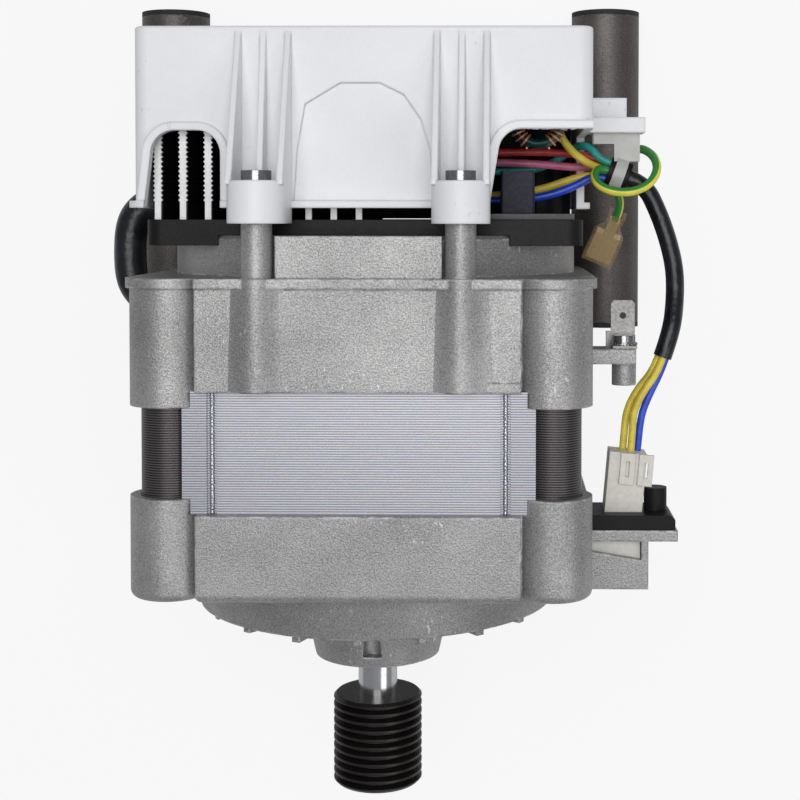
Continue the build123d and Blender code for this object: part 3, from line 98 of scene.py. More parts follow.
def laid_wire(name, route, diameter, skin):
    """Smooth wire along a route, given in metres, that stands for the node of the same name."""
    line = bpy.data.curves.new(name + "_laid", "CURVE")
    line.dimensions = "3D"
    spline = line.splines.new("NURBS")
    spline.points.add(len(route) - 1)
    for point, place in zip(spline.points, route):
        point.co = (*place, 1.0)
    spline.order_u = 3
    spline.use_endpoint_u = True
    spline.resolution_u = 16
    line.bevel_depth = diameter / 2
    line.bevel_resolution = 6
    line.use_fill_caps = True
    line.materials.append(skin)
    laid = bpy.data.objects.new(name + "_laid", line)
    scene.collection.objects.link(laid)
    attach(laid, "motor")
    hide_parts(name)
    return laid


blue_skin = mottled("blue_skin", (0.022, 0.085, 0.72), (0.014, 0.05, 0.50), 0.3)
yellow_skin = mottled("yellow_skin", (0.86, 0.72, 0.08), (0.66, 0.52, 0.05), 0.35)
mauve_skin = mottled("mauve_skin", (0.68, 0.18, 0.32), (0.50, 0.10, 0.20), 0.35)
red_skin = mottled("red_skin", (0.72, 0.07, 0.08), (0.52, 0.04, 0.045), 0.35)
teal_skin = mottled("teal_skin", (0.03, 0.42, 0.40), (0.018, 0.28, 0.27), 0.35)
lead_skin = mottled("lead_skin", (0.88, 0.82, 0.07), (0.68, 0.62, 0.05), 0.35)
lead_tree = lead_skin.node_tree
lead_shader = lead_tree.nodes["Principled BSDF"]
lead_uv = lead_tree.nodes.new("ShaderNodeUVMap")
lead_axes = lead_tree.nodes.new("ShaderNodeSeparateXYZ")
lead_side = lead_tree.nodes.new("ShaderNodeMath")
lead_side.operation = "LESS_THAN"
lead_side.inputs[1].default_value = 0.42
lead_stripe = lead_tree.nodes.new("ShaderNodeMix")
lead_stripe.data_type = "RGBA"
lead_stripe.inputs["B"].default_value = (0.03, 0.24, 0.04, 1.0)
lead_tree.links.new(lead_uv.outputs["UV"], lead_axes.inputs["Vector"])
lead_tree.links.new(lead_axes.outputs["Y"], lead_side.inputs[0])
lead_tree.links.new(lead_side.outputs["Value"], lead_stripe.inputs["Factor"])
lead_tree.links.new(lead_shader.inputs["Base Color"].links[0].from_socket, lead_stripe.inputs["A"])
lead_tree.links.new(lead_stripe.outputs["Result"], lead_shader.inputs["Base Color"])
sleeve_skin = mottled(
    "sleeve_skin", (0.008, 0.009, 0.013), (0.003, 0.004, 0.006), 0.3, strength=0.7, depth=0.0006,
)
harness_exit, harness_diameter = (0.07002, 0.15837, 0.0080), 0.0050
earth_exit, earth_diameter = (0.06438, 0.16043, 0.0106), 0.0024
phase_sleeve_diameter = 0.0090
wire_diameter = 0.0022
plug_wire_diameter = 0.0020
harness = laid_wire("harness_sleeve", [
    harness_exit, (0.07472, 0.15666, 0.0080), (0.0782, 0.1496, 0.0084),
    (0.0810, 0.1416, 0.0094), (0.0828, 0.1332, 0.0108), (0.0826, 0.1246, 0.0128),
    (0.0812, 0.1166, 0.0165), (0.0788, 0.1098, 0.0165),
], harness_diameter, sleeve_skin)
front_yellow = laid_wire("plug_wire_yellow", [
    (0.0788, 0.1098, 0.0177), (0.07731, 0.10558, 0.0177), (0.0736, 0.1006, 0.0178),
    (0.0708, 0.0948, 0.0179), (0.07063, 0.08934, 0.0180), (0.07019, 0.08436, 0.0180),
], plug_wire_diameter, yellow_skin)
rear_yellow = laid_wire("plug_wire_yellow_rear", [
    (0.07782, 0.11015, 0.0159), (0.07633, 0.10593, 0.0159), (0.0722, 0.1011, 0.0158),
    (0.0692, 0.0953, 0.0158), (0.06863, 0.08952, 0.0158), (0.0682, 0.08454, 0.0158),
], plug_wire_diameter, yellow_skin)
plug_blue = laid_wire("plug_wire_blue", [
    (0.07978, 0.10945, 0.0159), (0.07829, 0.10524, 0.0159), (0.0756, 0.0999, 0.0158),
    (0.0734, 0.0946, 0.0158), (0.07262, 0.08917, 0.0158), (0.07218, 0.08419, 0.0158),
], plug_wire_diameter, blue_skin)
earth_lead = laid_wire("earth_lead", [
    earth_exit, (0.0621, 0.16126, 0.0106), (0.0602, 0.1593, 0.0126),
    (0.0612, 0.1565, 0.0150), (0.0650, 0.1546, 0.0164), (0.0703, 0.1544, 0.0164),
    (0.0752, 0.1564, 0.0154), (0.0779, 0.1606, 0.0128), (0.0772, 0.1648, 0.0084),
    (0.0736, 0.1674, 0.0022), (0.0690, 0.1650, -0.0006), (0.0669, 0.1598, -0.0012),
    (0.0676, 0.1550, -0.0004), (0.06895, 0.15087, -0.00042), (0.06737, 0.14692, -0.00305),
], earth_diameter, lead_skin)
laid_wire("phase_lead_sleeve", [
    (-0.0582, 0.1520, 0.0045), (-0.0623, 0.1520, 0.0045), (-0.0665, 0.1494, 0.0045),
    (-0.0687, 0.1452, 0.0045), (-0.0692, 0.1380, 0.0045), (-0.0688, 0.1305, 0.0045),
    (-0.0664, 0.1262, 0.0045), (-0.0624, 0.1232, 0.0045), (-0.0580, 0.1232, 0.0045),
], phase_sleeve_diameter, sleeve_skin)
laid_wire("wire_blue", [
    (0.0280, 0.1521, 0.0088), (0.0370, 0.1521, 0.0088), (0.0470, 0.1532, 0.0090),
    (0.0550, 0.1560, 0.0092), (0.06079, 0.15934, 0.0093), (0.06361, 0.15831, 0.0093),
], wire_diameter, blue_skin)
laid_wire("wire_yellow_lower", [
    (0.0280, 0.1536, 0.0050), (0.0360, 0.1536, 0.0050), (0.0460, 0.1553, 0.0056),
    (0.0550, 0.1584, 0.0063), (0.06032, 0.15951, 0.0067), (0.06361, 0.15831, 0.0067),
], wire_diameter, yellow_skin)
laid_wire("wire_pink", [
    (0.0280, 0.1628, 0.0070), (0.0360, 0.1628, 0.0070), (0.0470, 0.1623, 0.0065),
    (0.0560, 0.1614, 0.0058), (0.06062, 0.1618, 0.0054), (0.06438, 0.16043, 0.0054),
], wire_diameter, mauve_skin)
laid_wire("wire_red", [
    (0.0280, 0.1657, 0.0032), (0.0360, 0.1657, 0.0032), (0.0480, 0.1659, 0.0040),
    (0.0570, 0.1650, 0.0056), (0.06139, 0.16392, 0.0067), (0.06515, 0.16255, 0.0067),
], wire_diameter, red_skin)
laid_wire("wire_teal", [
    (0.0280, 0.1605, 0.0002), (0.0370, 0.1605, 0.0002), (0.0455, 0.1612, 0.0004),
    (0.0515, 0.1640, 0.0009), (0.0556, 0.1676, 0.0036), (0.0593, 0.1674, 0.0079),
    (0.06214, 0.16364, 0.0093), (0.06515, 0.16255, 0.0093),
], wire_diameter, teal_skin)
laid_wire("wire_yellow_upper", [
    (0.0500, 0.1858, 0.0120), (0.0500, 0.1790, 0.0120), (0.0505, 0.1710, 0.0126),
    (0.0536, 0.1662, 0.0126), (0.0580, 0.1629, 0.0104), (0.0611, 0.16162, 0.0080),
    (0.06438, 0.16043, 0.0080),
], wire_diameter, yellow_skin)

# The two shields are aluminium die castings, blasted after casting: a fine even grain, slow
# clouds of darker grey, and bright rubbed marks where they were handled. Long bolts hold them.
def value_input(group, name, kind, value):
    """Adds an input socket with its starting value to a node group."""
    socket = group.interface.new_socket(name=name, in_out="INPUT", socket_type=kind)
    socket.default_value = value


def grain_group():
    """Node group with fine grain, slow clouds and the height of the grain."""
    group = bpy.data.node_groups.new("grain", "ShaderNodeTree")
    value_input(group, "Grain Scale", "NodeSocketFloat", 2600.0)
    value_input(group, "Cloud Scale", "NodeSocketFloat", 45.0)
    value_input(group, "Cloud Share", "NodeSocketFloat", 0.4)
    group.interface.new_socket(name="Shade", in_out="OUTPUT", socket_type="NodeSocketFloat")
    group.interface.new_socket(name="Height", in_out="OUTPUT", socket_type="NodeSocketFloat")
    given = group.nodes.new("NodeGroupInput")
    result = group.nodes.new("NodeGroupOutput")
    place = group.nodes.new("ShaderNodeTexCoord")
    fine = group.nodes.new("ShaderNodeTexNoise")
    fine.inputs["Detail"].default_value = 2.0
    clouds = group.nodes.new("ShaderNodeTexNoise")
    clouds.inputs["Detail"].default_value = 4.0
    clouds.inputs["Roughness"].default_value = 0.6
    blend = group.nodes.new("ShaderNodeMix")
    spread = group.nodes.new("ShaderNodeMapRange")
    spread.inputs["From Min"].default_value = 0.32
    spread.inputs["From Max"].default_value = 0.68
    links = group.links
    links.new(place.outputs["Object"], fine.inputs["Vector"])
    links.new(place.outputs["Object"], clouds.inputs["Vector"])
    links.new(given.outputs["Grain Scale"], fine.inputs["Scale"])
    links.new(given.outputs["Cloud Scale"], clouds.inputs["Scale"])
    links.new(given.outputs["Cloud Share"], blend.inputs["Factor"])
    links.new(fine.outputs["Fac"], blend.inputs["A"])
    links.new(clouds.outputs["Fac"], blend.inputs["B"])
    links.new(blend.outputs["Result"], spread.inputs["Value"])
    links.new(spread.outputs["Result"], result.inputs["Shade"])
    links.new(fine.outputs["Fac"], result.inputs["Height"])
    return group


def rub_group():
    """Node group with a mask of short thin rubbed marks, kept to a few patches."""
    group = bpy.data.node_groups.new("rubs", "ShaderNodeTree")
    value_input(group, "Stretch", "NodeSocketVector", (900.0, 420.0, 500.0))
    value_input(group, "Patch Scale", "NodeSocketFloat", 30.0)
    value_input(group, "Amount", "NodeSocketFloat", 1.0)
    group.interface.new_socket(name="Mask", in_out="OUTPUT", socket_type="NodeSocketFloat")
    given = group.nodes.new("NodeGroupInput")
    result = group.nodes.new("NodeGroupOutput")
    place = group.nodes.new("ShaderNodeTexCoord")
    stretched = group.nodes.new("ShaderNodeVectorMath")
    stretched.operation = "MULTIPLY"
    lines = group.nodes.new("ShaderNodeTexNoise")
    lines.inputs["Scale"].default_value = 1.0
    lines.inputs["Detail"].default_value = 1.0
    patches = group.nodes.new("ShaderNodeTexNoise")
    line_mask = group.nodes.new("ShaderNodeMapRange")
    line_mask.inputs["From Min"].default_value = 0.67
    line_mask.inputs["From Max"].default_value = 0.74
    patch_mask = group.nodes.new("ShaderNodeMapRange")
    patch_mask.inputs["From Min"].default_value = 0.54
    patch_mask.inputs["From Max"].default_value = 0.68
    both = group.nodes.new("ShaderNodeMath")
    both.operation = "MULTIPLY"
    scaled = group.nodes.new("ShaderNodeMath")
    scaled.operation = "MULTIPLY"
    scaled.use_clamp = True
    links = group.links
    links.new(place.outputs["Object"], stretched.inputs[0])
    links.new(given.outputs["Stretch"], stretched.inputs[1])
    links.new(stretched.outputs["Vector"], lines.inputs["Vector"])
    links.new(place.outputs["Object"], patches.inputs["Vector"])
    links.new(given.outputs["Patch Scale"], patches.inputs["Scale"])
    links.new(lines.outputs["Fac"], line_mask.inputs["Value"])
    links.new(patches.outputs["Fac"], patch_mask.inputs["Value"])
    links.new(line_mask.outputs["Result"], both.inputs[0])
    links.new(patch_mask.outputs["Result"], both.inputs[1])
    links.new(both.outputs["Value"], scaled.inputs[0])
    links.new(given.outputs["Amount"], scaled.inputs[1])
    links.new(scaled.outputs["Value"], result.inputs["Mask"])
    return group


grain = grain_group()
rubs = rub_group()


def finish(
    name, pale, dark, roughness, metallic=0.0, grain_scale=2600.0, cloud_scale=45.0,
    cloud_share=0.4, depth=0.00005, rub=(0.6, 0.6, 0.6), rub_amount=0.0, edge=0.0003, worn=0.0,
):
    """Rigid finish: grain between two shades, rubbed marks, and edges that catch the light."""
    made, tree, principled = shader(name, roughness, metallic)
    links = tree.links
    texture = tree.nodes.new("ShaderNodeGroup")
    texture.node_tree = grain
    texture.inputs["Grain Scale"].default_value = grain_scale
    texture.inputs["Cloud Scale"].default_value = cloud_scale
    texture.inputs["Cloud Share"].default_value = cloud_share
    shade = tree.nodes.new("ShaderNodeMix")
    shade.data_type = "RGBA"
    shade.inputs["A"].default_value = (*dark, 1.0)
    shade.inputs["B"].default_value = (*pale, 1.0)
    links.new(texture.outputs["Shade"], shade.inputs["Factor"])
    color = shade.outputs["Result"]
    if rub_amount:
        marks = tree.nodes.new("ShaderNodeGroup")
        marks.node_tree = rubs
        marks.inputs["Amount"].default_value = rub_amount
        marked = tree.nodes.new("ShaderNodeMix")
        marked.data_type = "RGBA"
        marked.inputs["B"].default_value = (*rub, 1.0)
        links.new(marks.outputs["Mask"], marked.inputs["Factor"])
        links.new(color, marked.inputs["A"])
        color = marked.outputs["Result"]
    if worn:
        rounded_edge = tree.nodes.new("ShaderNodeBevel")
        rounded_edge.samples = 4
        rounded_edge.inputs["Radius"].default_value = edge
        flat_way = tree.nodes.new("ShaderNodeNewGeometry")
        along = tree.nodes.new("ShaderNodeVectorMath")
        along.operation = "DOT_PRODUCT"
        turned_share = tree.nodes.new("ShaderNodeMapRange")
        turned_share.inputs["From Min"].default_value = 0.998
        turned_share.inputs["From Max"].default_value = 0.95
        broken = tree.nodes.new("ShaderNodeTexNoise")
        broken.inputs["Scale"].default_value = 260.0
        broken.inputs["Detail"].default_value = 3.0
        broken_share = tree.nodes.new("ShaderNodeMapRange")
        broken_share.inputs["From Min"].default_value = 0.47
        broken_share.inputs["From Max"].default_value = 0.60
        broken_share.inputs["To Max"].default_value = worn
        edge_mask = tree.nodes.new("ShaderNodeMath")
        edge_mask.operation = "MULTIPLY"
        worn_color = tree.nodes.new("ShaderNodeMix")
        worn_color.data_type = "RGBA"
        worn_color.inputs["B"].default_value = (*rub, 1.0)
        place = tree.nodes.new("ShaderNodeTexCoord")
        links.new(place.outputs["Object"], broken.inputs["Vector"])
        links.new(rounded_edge.outputs["Normal"], along.inputs[0])
        links.new(flat_way.outputs["Normal"], along.inputs[1])
        links.new(along.outputs["Value"], turned_share.inputs["Value"])
        links.new(broken.outputs["Fac"], broken_share.inputs["Value"])
        links.new(turned_share.outputs["Result"], edge_mask.inputs[0])
        links.new(broken_share.outputs["Result"], edge_mask.inputs[1])
        links.new(edge_mask.outputs["Value"], worn_color.inputs["Factor"])
        links.new(color, worn_color.inputs["A"])
        color = worn_color.outputs["Result"]
    links.new(color, principled.inputs["Base Color"])
    gloss = tree.nodes.new("ShaderNodeMapRange")
    gloss.inputs["To Min"].default_value = roughness + 0.06
    gloss.inputs["To Max"].default_value = max(roughness - 0.06, 0.05)
    links.new(texture.outputs["Shade"], gloss.inputs["Value"])
    links.new(gloss.outputs["Result"], principled.inputs["Roughness"])
    rounded = tree.nodes.new("ShaderNodeBevel")
    rounded.samples = 4
    rounded.inputs["Radius"].default_value = edge
    bump = tree.nodes.new("ShaderNodeBump")
    bump.inputs["Strength"].default_value = 0.6
    bump.inputs["Distance"].default_value = depth
    links.new(texture.outputs["Height"], bump.inputs["Height"])
    links.new(rounded.outputs["Normal"], bump.inputs["Normal"])
    links.new(bump.outputs["Normal"], principled.inputs["Normal"])
    return made


def clothe(skin, *nodes):
    """Gives CAD nodes that keep their own shape a finish."""
    for node in nodes:
        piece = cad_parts[node]
        piece.data.materials.clear()
        piece.data.materials.append(skin)


casting = finish(
    "blasted_casting", (0.50, 0.495, 0.49), (0.20, 0.198, 0.195), 0.46, metallic=0.6,
    grain_scale=2600.0, cloud_scale=40.0, cloud_share=0.3, depth=0.00012,
    rub=(0.85, 0.85, 0.86), rub_amount=0.7, edge=0.0008, worn=0.9,
)

# Painted shade darkens the back half of both castings, where the mounting tubes lie near the
# floor. It lies in the blasted grain and only tints the metal.
casting_tree = casting.node_tree
casting_shader = casting_tree.nodes["Principled BSDF"]
casting_color = casting_shader.inputs["Base Color"].links[0].from_socket
casting_place = casting_tree.nodes.new("ShaderNodeTexCoord")
casting_axes = casting_tree.nodes.new("ShaderNodeSeparateXYZ")
casting_shade_share = casting_tree.nodes.new("ShaderNodeMapRange")
casting_shade_share.inputs["From Min"].default_value = -0.012
casting_shade_share.inputs["From Max"].default_value = -0.038
casting_back_shade = casting_tree.nodes.new("ShaderNodeMix")
casting_back_shade.data_type = "RGBA"
casting_back_shade.blend_type = "MULTIPLY"
casting_back_shade.inputs["B"].default_value = (0.30, 0.27, 0.26, 1.0)
casting_tree.links.new(casting_place.outputs["Object"], casting_axes.inputs["Vector"])
casting_tree.links.new(casting_axes.outputs["Z"], casting_shade_share.inputs["Value"])
casting_tree.links.new(casting_shade_share.outputs["Result"], casting_back_shade.inputs["Factor"])
casting_tree.links.new(casting_color, casting_back_shade.inputs["A"])
casting_tree.links.new(casting_back_shade.outputs["Result"], casting_shader.inputs["Base Color"])
clothe(casting, "drive_end_shield", "rear_end_shield")

# Two wide soft columns run down the front of the rear shield under the cover posts, drawn out
# of the face by the mould.
column_rows = 30
column_steps = 28
column_places = {"left": -0.0251, "right": 0.0251}
column_foot, column_length = 0.1050, 0.0252
column_half, column_narrowing = 0.0078, 0.0010
column_rise, column_rise_gain = 0.0022, 0.0003
column_edge_dip = 0.0002
shield_front = 0.05795
for side, middle in column_places.items():
    places = []
    for row in range(column_rows + 1):
        share = row / column_rows
        y = column_foot + share * column_length
        half = column_half - column_narrowing * share
        rise = column_rise + column_rise_gain * share
        for step in range(column_steps + 1):
            across = 2 * step / column_steps - 1
            lift = rise * math.cos(across * math.pi / 2) ** 2 - column_edge_dip * across ** 8
            places.append((middle + across * half, y, shield_front + lift))
    faces = []
    for row in range(column_rows):
        for step in range(column_steps):
            corner = row * (column_steps + 1) + step
            faces.append((
                corner, corner + 1, corner + column_steps + 2, corner + column_steps + 1,
            ))
    column_mesh = bpy.data.meshes.new("column_" + side)
    column_mesh.from_pydata(places, [], faces)
    column_mesh.shade_smooth()
    column_mesh.materials.append(casting)
    column = bpy.data.objects.new("column_" + side, column_mesh)
    scene.collection.objects.link(column)
    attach(column, "motor")

# The stack is of thin electrical steel sheets, punched, pressed together and welded in grooves.
# The four flats are ground bright, and the corners keep their dark burnt skin.
sheet_pitch = 0.00062
flat_edge = 0.0437


def sheet_steel():
    """Sheet edges one above the other, bright on the flats and burnt dark at the corners."""
    made, tree, principled = shader("sheet_edges", 0.38, 0.55)
    links = tree.links
    place = tree.nodes.new("ShaderNodeTexCoord")
    axes = tree.nodes.new("ShaderNodeSeparateXYZ")
    links.new(place.outputs["Object"], axes.inputs["Vector"])
    lines = tree.nodes.new("ShaderNodeTexWave")
    lines.wave_type = "BANDS"
    lines.bands_direction = "Y"
    lines.inputs["Scale"].default_value = 2 * math.pi / (20 * sheet_pitch)
    links.new(place.outputs["Object"], lines.inputs["Vector"])
    streaks = tree.nodes.new("ShaderNodeTexNoise")
    streaks.inputs["Scale"].default_value = 1.0
    streaks.inputs["Detail"].default_value = 3.0
    stretched = tree.nodes.new("ShaderNodeVectorMath")
    stretched.operation = "MULTIPLY"
    stretched.inputs[1].default_value = (260.0, 1700.0, 260.0)
    links.new(place.outputs["Object"], stretched.inputs[0])
    links.new(stretched.outputs["Vector"], streaks.inputs["Vector"])
    ground = tree.nodes.new("ShaderNodeValToRGB")
    ground.color_ramp.elements[0].position = 0.0
    ground.color_ramp.elements[0].color = (0.10, 0.10, 0.11, 1.0)
    ground.color_ramp.elements[1].position = 0.24
    ground.color_ramp.elements[1].color = (0.50, 0.50, 0.55, 1.0)
    links.new(lines.outputs["Fac"], ground.inputs["Fac"])
    burnt = tree.nodes.new("ShaderNodeValToRGB")
    burnt.color_ramp.elements[0].color = (0.010, 0.009, 0.010, 1.0)
    burnt.color_ramp.elements[1].color = (0.125, 0.110, 0.115, 1.0)
    links.new(lines.outputs["Fac"], burnt.inputs["Fac"])
    uneven = tree.nodes.new("ShaderNodeMix")
    uneven.data_type = "RGBA"
    uneven.blend_type = "MULTIPLY"
    uneven.inputs["Factor"].default_value = 0.3
    links.new(ground.outputs["Color"], uneven.inputs["A"])
    links.new(streaks.outputs["Color"], uneven.inputs["B"])
    nearer = tree.nodes.new("ShaderNodeMath")
    nearer.operation = "MINIMUM"
    between = tree.nodes.new("ShaderNodeMapRange")
    between.inputs["From Min"].default_value = 0.0368
    between.inputs["From Max"].default_value = 0.0330
    brighter = tree.nodes.new("ShaderNodeMix")
    brighter.data_type = "RGBA"
    brighter.blend_type = "ADD"
    brighter.inputs["B"].default_value = (0.05, 0.05, 0.05, 1.0)
    links.new(nearer.outputs["Value"], between.inputs["Value"])
    links.new(between.outputs["Result"], brighter.inputs["Factor"])
    links.new(uneven.outputs["Result"], brighter.inputs["A"])
    corner = None
    for entry, axis in enumerate("XZ"):
        size = tree.nodes.new("ShaderNodeMath")
        size.operation = "ABSOLUTE"
        beyond = tree.nodes.new("ShaderNodeMath")
        beyond.operation = "GREATER_THAN"
        beyond.inputs[1].default_value = flat_edge
        links.new(axes.outputs[axis], size.inputs[0])
        links.new(size.outputs["Value"], nearer.inputs[entry])
        links.new(size.outputs["Value"], beyond.inputs[0])
        if corner is None:
            corner = beyond.outputs["Value"]
        else:
            both = tree.nodes.new("ShaderNodeMath")
            both.operation = "MULTIPLY"
            links.new(corner, both.inputs[0])
            links.new(beyond.outputs["Value"], both.inputs[1])
            corner = both.outputs["Value"]
    skin = tree.nodes.new("ShaderNodeMix")
    skin.data_type = "RGBA"
    links.new(corner, skin.inputs["Factor"])
    links.new(brighter.outputs["Result"], skin.inputs["A"])
    links.new(burnt.outputs["Color"], skin.inputs["B"])
    links.new(skin.outputs["Result"], principled.inputs["Base Color"])
    bump = tree.nodes.new("ShaderNodeBump")
    bump.inputs["Strength"].default_value = 0.25
    bump.inputs["Distance"].default_value = 0.00005
    links.new(lines.outputs["Fac"], bump.inputs["Height"])
    links.new(bump.outputs["Normal"], principled.inputs["Normal"])
    return made


clothe(sheet_steel(), "stator_stack", "rotor_core")

# Weld seams in the grooves of the stack: overlapping drops of melted steel, one behind the
# other along each groove, two seams on each of the four flats.
weld_metal = finish(
    "weld_metal", (0.62, 0.64, 0.68), (0.30, 0.31, 0.34), 0.28, metallic=0.8,
    grain_scale=3200.0, depth=0.00002, edge=0.0001,
)


def socket_named(tree, name):
    """Identifier of a tree's input socket."""
    return next(item.identifier for item in tree.interface.items_tree if item.name == name)


def growing_tree(name, sizes):
    """New Geometry Nodes tree with a geometry input, named sizes and a geometry output."""
    tree = bpy.data.node_groups.new(name, "GeometryNodeTree")
    tree.interface.new_socket(name="Geometry", in_out="INPUT", socket_type="NodeSocketGeometry")
    for size, kind in sizes.items():
        value_input(tree, size, "NodeSocket" + kind, 0)
    tree.interface.new_socket(name="Geometry", in_out="OUTPUT", socket_type="NodeSocketGeometry")
    return tree, tree.nodes.new("NodeGroupInput"), tree.nodes.new("NodeGroupOutput")


def straight_row(tree, given, count, length, axis):
    """Points in a row along an axis, with the names of the sizes for their count and length."""
    row = tree.nodes.new("GeometryNodeMeshLine")
    row.mode = "END_POINTS"
    row_end = tree.nodes.new("ShaderNodeCombineXYZ")
    tree.links.new(given.outputs[count], row.inputs["Count"])
    tree.links.new(given.outputs[length], row_end.inputs[axis])
    tree.links.new(row_end.outputs["Vector"], row.inputs["Offset"])
    return row.outputs["Mesh"]


def spread_over(
    tree, given, result, points, shape, skin, scale=None, rotation=None, smooth=False,
):
    """Sets a small shape on points, and the whole row of them on each point of the mesh."""
    links = tree.links
    single = tree.nodes.new("GeometryNodeInstanceOnPoints")
    whole = tree.nodes.new("GeometryNodeInstanceOnPoints")
    solid = tree.nodes.new("GeometryNodeRealizeInstances")
    dressed = tree.nodes.new("GeometryNodeSetMaterial")
    dressed.inputs["Material"].default_value = skin
    links.new(points, single.inputs["Points"])
    links.new(shape, single.inputs["Instance"])
    if scale is not None:
        links.new(scale, single.inputs["Scale"])
    if rotation is not None:
        links.new(rotation, single.inputs["Rotation"])
    links.new(given.outputs["Geometry"], whole.inputs["Points"])
    links.new(single.outputs["Instances"], whole.inputs["Instance"])
    links.new(whole.outputs["Instances"], solid.inputs["Geometry"])
    grown_shape = solid.outputs["Geometry"]
    if smooth:
        rounded = tree.nodes.new("GeometryNodeSetShadeSmooth")
        links.new(grown_shape, rounded.inputs["Geometry"])
        grown_shape = rounded.outputs["Geometry"]
    links.new(grown_shape, dressed.inputs["Geometry"])
    links.new(dressed.outputs["Geometry"], result.inputs["Geometry"])


def grown(name, points, tree, values, body):
    """Plain mesh that a Geometry Nodes tree makes from points, riding on a body."""
    seed_mesh = bpy.data.meshes.new(name + "_points")
    seed_mesh.from_pydata(points, [], [])
    seed = bpy.data.objects.new(name + "_points", seed_mesh)
    scene.collection.objects.link(seed)
    nodes = seed.modifiers.new(name, "NODES")
    nodes.node_group = tree
    for socket, value in values.items():
        nodes[socket_named(tree, socket)] = value
    bpy.context.view_layer.update()
    made = bpy.data.meshes.new_from_object(
        seed.evaluated_get(bpy.context.evaluated_depsgraph_get())
    )
    seed.modifiers.clear()
    bpy.data.objects.remove(seed)
    made.name = name
    piece = bpy.data.objects.new(name, made)
    scene.collection.objects.link(piece)
    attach(piece, body)
    return piece


seam_tree, seam_in, seam_out = growing_tree(
    "weld_seam", {"Drops": "Int", "Length": "Float", "Drop Radius": "Float"},
)
drop = seam_tree.nodes.new("GeometryNodeMeshUVSphere")
drop.inputs["Segments"].default_value = 8
drop.inputs["Rings"].default_value = 5
seam_tree.links.new(seam_in.outputs["Drop Radius"], drop.inputs["Radius"])
drop_size = seam_tree.nodes.new("FunctionNodeRandomValue")
drop_size.inputs["Min"].default_value = 0.85
drop_size.inputs["Max"].default_value = 1.15
drop_size.inputs["Seed"].default_value = 7
spread_over(
    seam_tree, seam_in, seam_out, straight_row(seam_tree, seam_in, "Drops", "Length", "Y"),
    drop.outputs["Mesh"], weld_metal, scale=drop_size.outputs[1], smooth=True,
)
stack_low, stack_high = (corner[1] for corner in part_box("stator_stack"))
stack_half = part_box("stator_stack")[1][0]
groove_place = 0.0362
groove_floor = stack_half - 0.0008
seam_margin = 0.0004
seam_starts = []
for side in (-1, 1):
    for place in (-groove_place, groove_place):
        seam_starts.append((place, stack_low + seam_margin, side * groove_floor))
        seam_starts.append((side * groove_floor, stack_low + seam_margin, place))
grown(
    "weld_seams", seam_starts, seam_tree,
    {"Drops": 110, "Length": stack_high - stack_low - 2 * seam_margin, "Drop Radius": 0.00062},
    "motor",
)

# The winding is enamelled copper wire, wound into the slots, bound and dipped in varnish. It
# shows only through the bell as dark copper.
clothe(finish(
    "varnished_copper", (0.42, 0.15, 0.06), (0.14, 0.045, 0.018), 0.32, metallic=0.75,
    grain_scale=900.0, cloud_scale=300.0, depth=0.0002,
), "stator_winding")

# The rotor turns in two ball bearings: a cage of cast aluminium round the sheets, a ground
# steel shaft, and a blackened steel pulley with turned ribs pressed on its end. At the rear a
# ferrite magnet on the shaft runs in the moulded coil of the speed sensor.
clothe(finish(
    "cage_casting", (0.55, 0.55, 0.56), (0.34, 0.34, 0.35), 0.45, metallic=0.7, depth=0.00008,
), "rotor_cage")
ground_steel = finish(
    "ground_steel", (0.72, 0.72, 0.73), (0.52, 0.52, 0.54), 0.2, metallic=1.0,
    grain_scale=4000.0, cloud_scale=120.0, depth=0.000008, edge=0.0002,
)
clothe(
    ground_steel, "shaft", "drive_bearing_inner_ring", "drive_bearing_outer_ring",
    "drive_bearing_balls", "rear_bearing_inner_ring", "rear_bearing_outer_ring",
    "rear_bearing_balls",
)
clothe(finish(
    "pressed_cage", (0.30, 0.30, 0.31), (0.20, 0.20, 0.21), 0.35, metallic=0.9, depth=0.00002,
), "drive_bearing_cage", "rear_bearing_cage", "wave_washer")
clothe(finish(
    "blackened_steel", (0.030, 0.024, 0.022), (0.010, 0.008, 0.008), 0.33, metallic=0.4,
    grain_scale=1800.0, cloud_scale=90.0, depth=0.00004, rub=(0.16, 0.14, 0.13),
    rub_amount=0.5, edge=0.00025,
), "pulley")
clothe(finish(
    "ferrite", (0.06, 0.06, 0.065), (0.035, 0.035, 0.04), 0.45, depth=0.00004,
), "speed_magnet")
# Black plastic, darker than the plastic's own black as painted shade for the tray under the cover;
# the other black plastic parts share it.
black_plastic = finish(
    "black_plastic", (0.012, 0.0115, 0.0115), (0.006, 0.0055, 0.0055), 0.45,
    grain_scale=2200.0, cloud_scale=60.0, depth=0.00003, edge=0.0003,
)
black_plastic.node_tree.nodes["Principled BSDF"].inputs["Specular IOR Level"].default_value = 0.18
clothe(black_plastic, "sensor_coil", "wire_outlet", "power_module")

# The mounting tubes hold pressed-in rubber bushes with a steel sleeve through them. The rubber
# stands out as a dark rim at both ends of each tube. Sleeves and tie bolts are zinc plated.
clothe(finish(
    "bush_rubber", (0.020, 0.018, 0.018), (0.010, 0.009, 0.009), 0.7,
    grain_scale=1600.0, depth=0.00008, edge=0.0004,
), "bush_left_lower", "bush_left_upper", "bush_right_lower", "bush_right_upper")
zinc = finish(
    "zinc_plating", (0.56, 0.57, 0.60), (0.36, 0.37, 0.40), 0.28, metallic=0.95,
    grain_scale=2400.0, cloud_scale=150.0, depth=0.00002, edge=0.0002,
)
clothe(zinc, "sleeve_left", "sleeve_right", "tie_bolts")

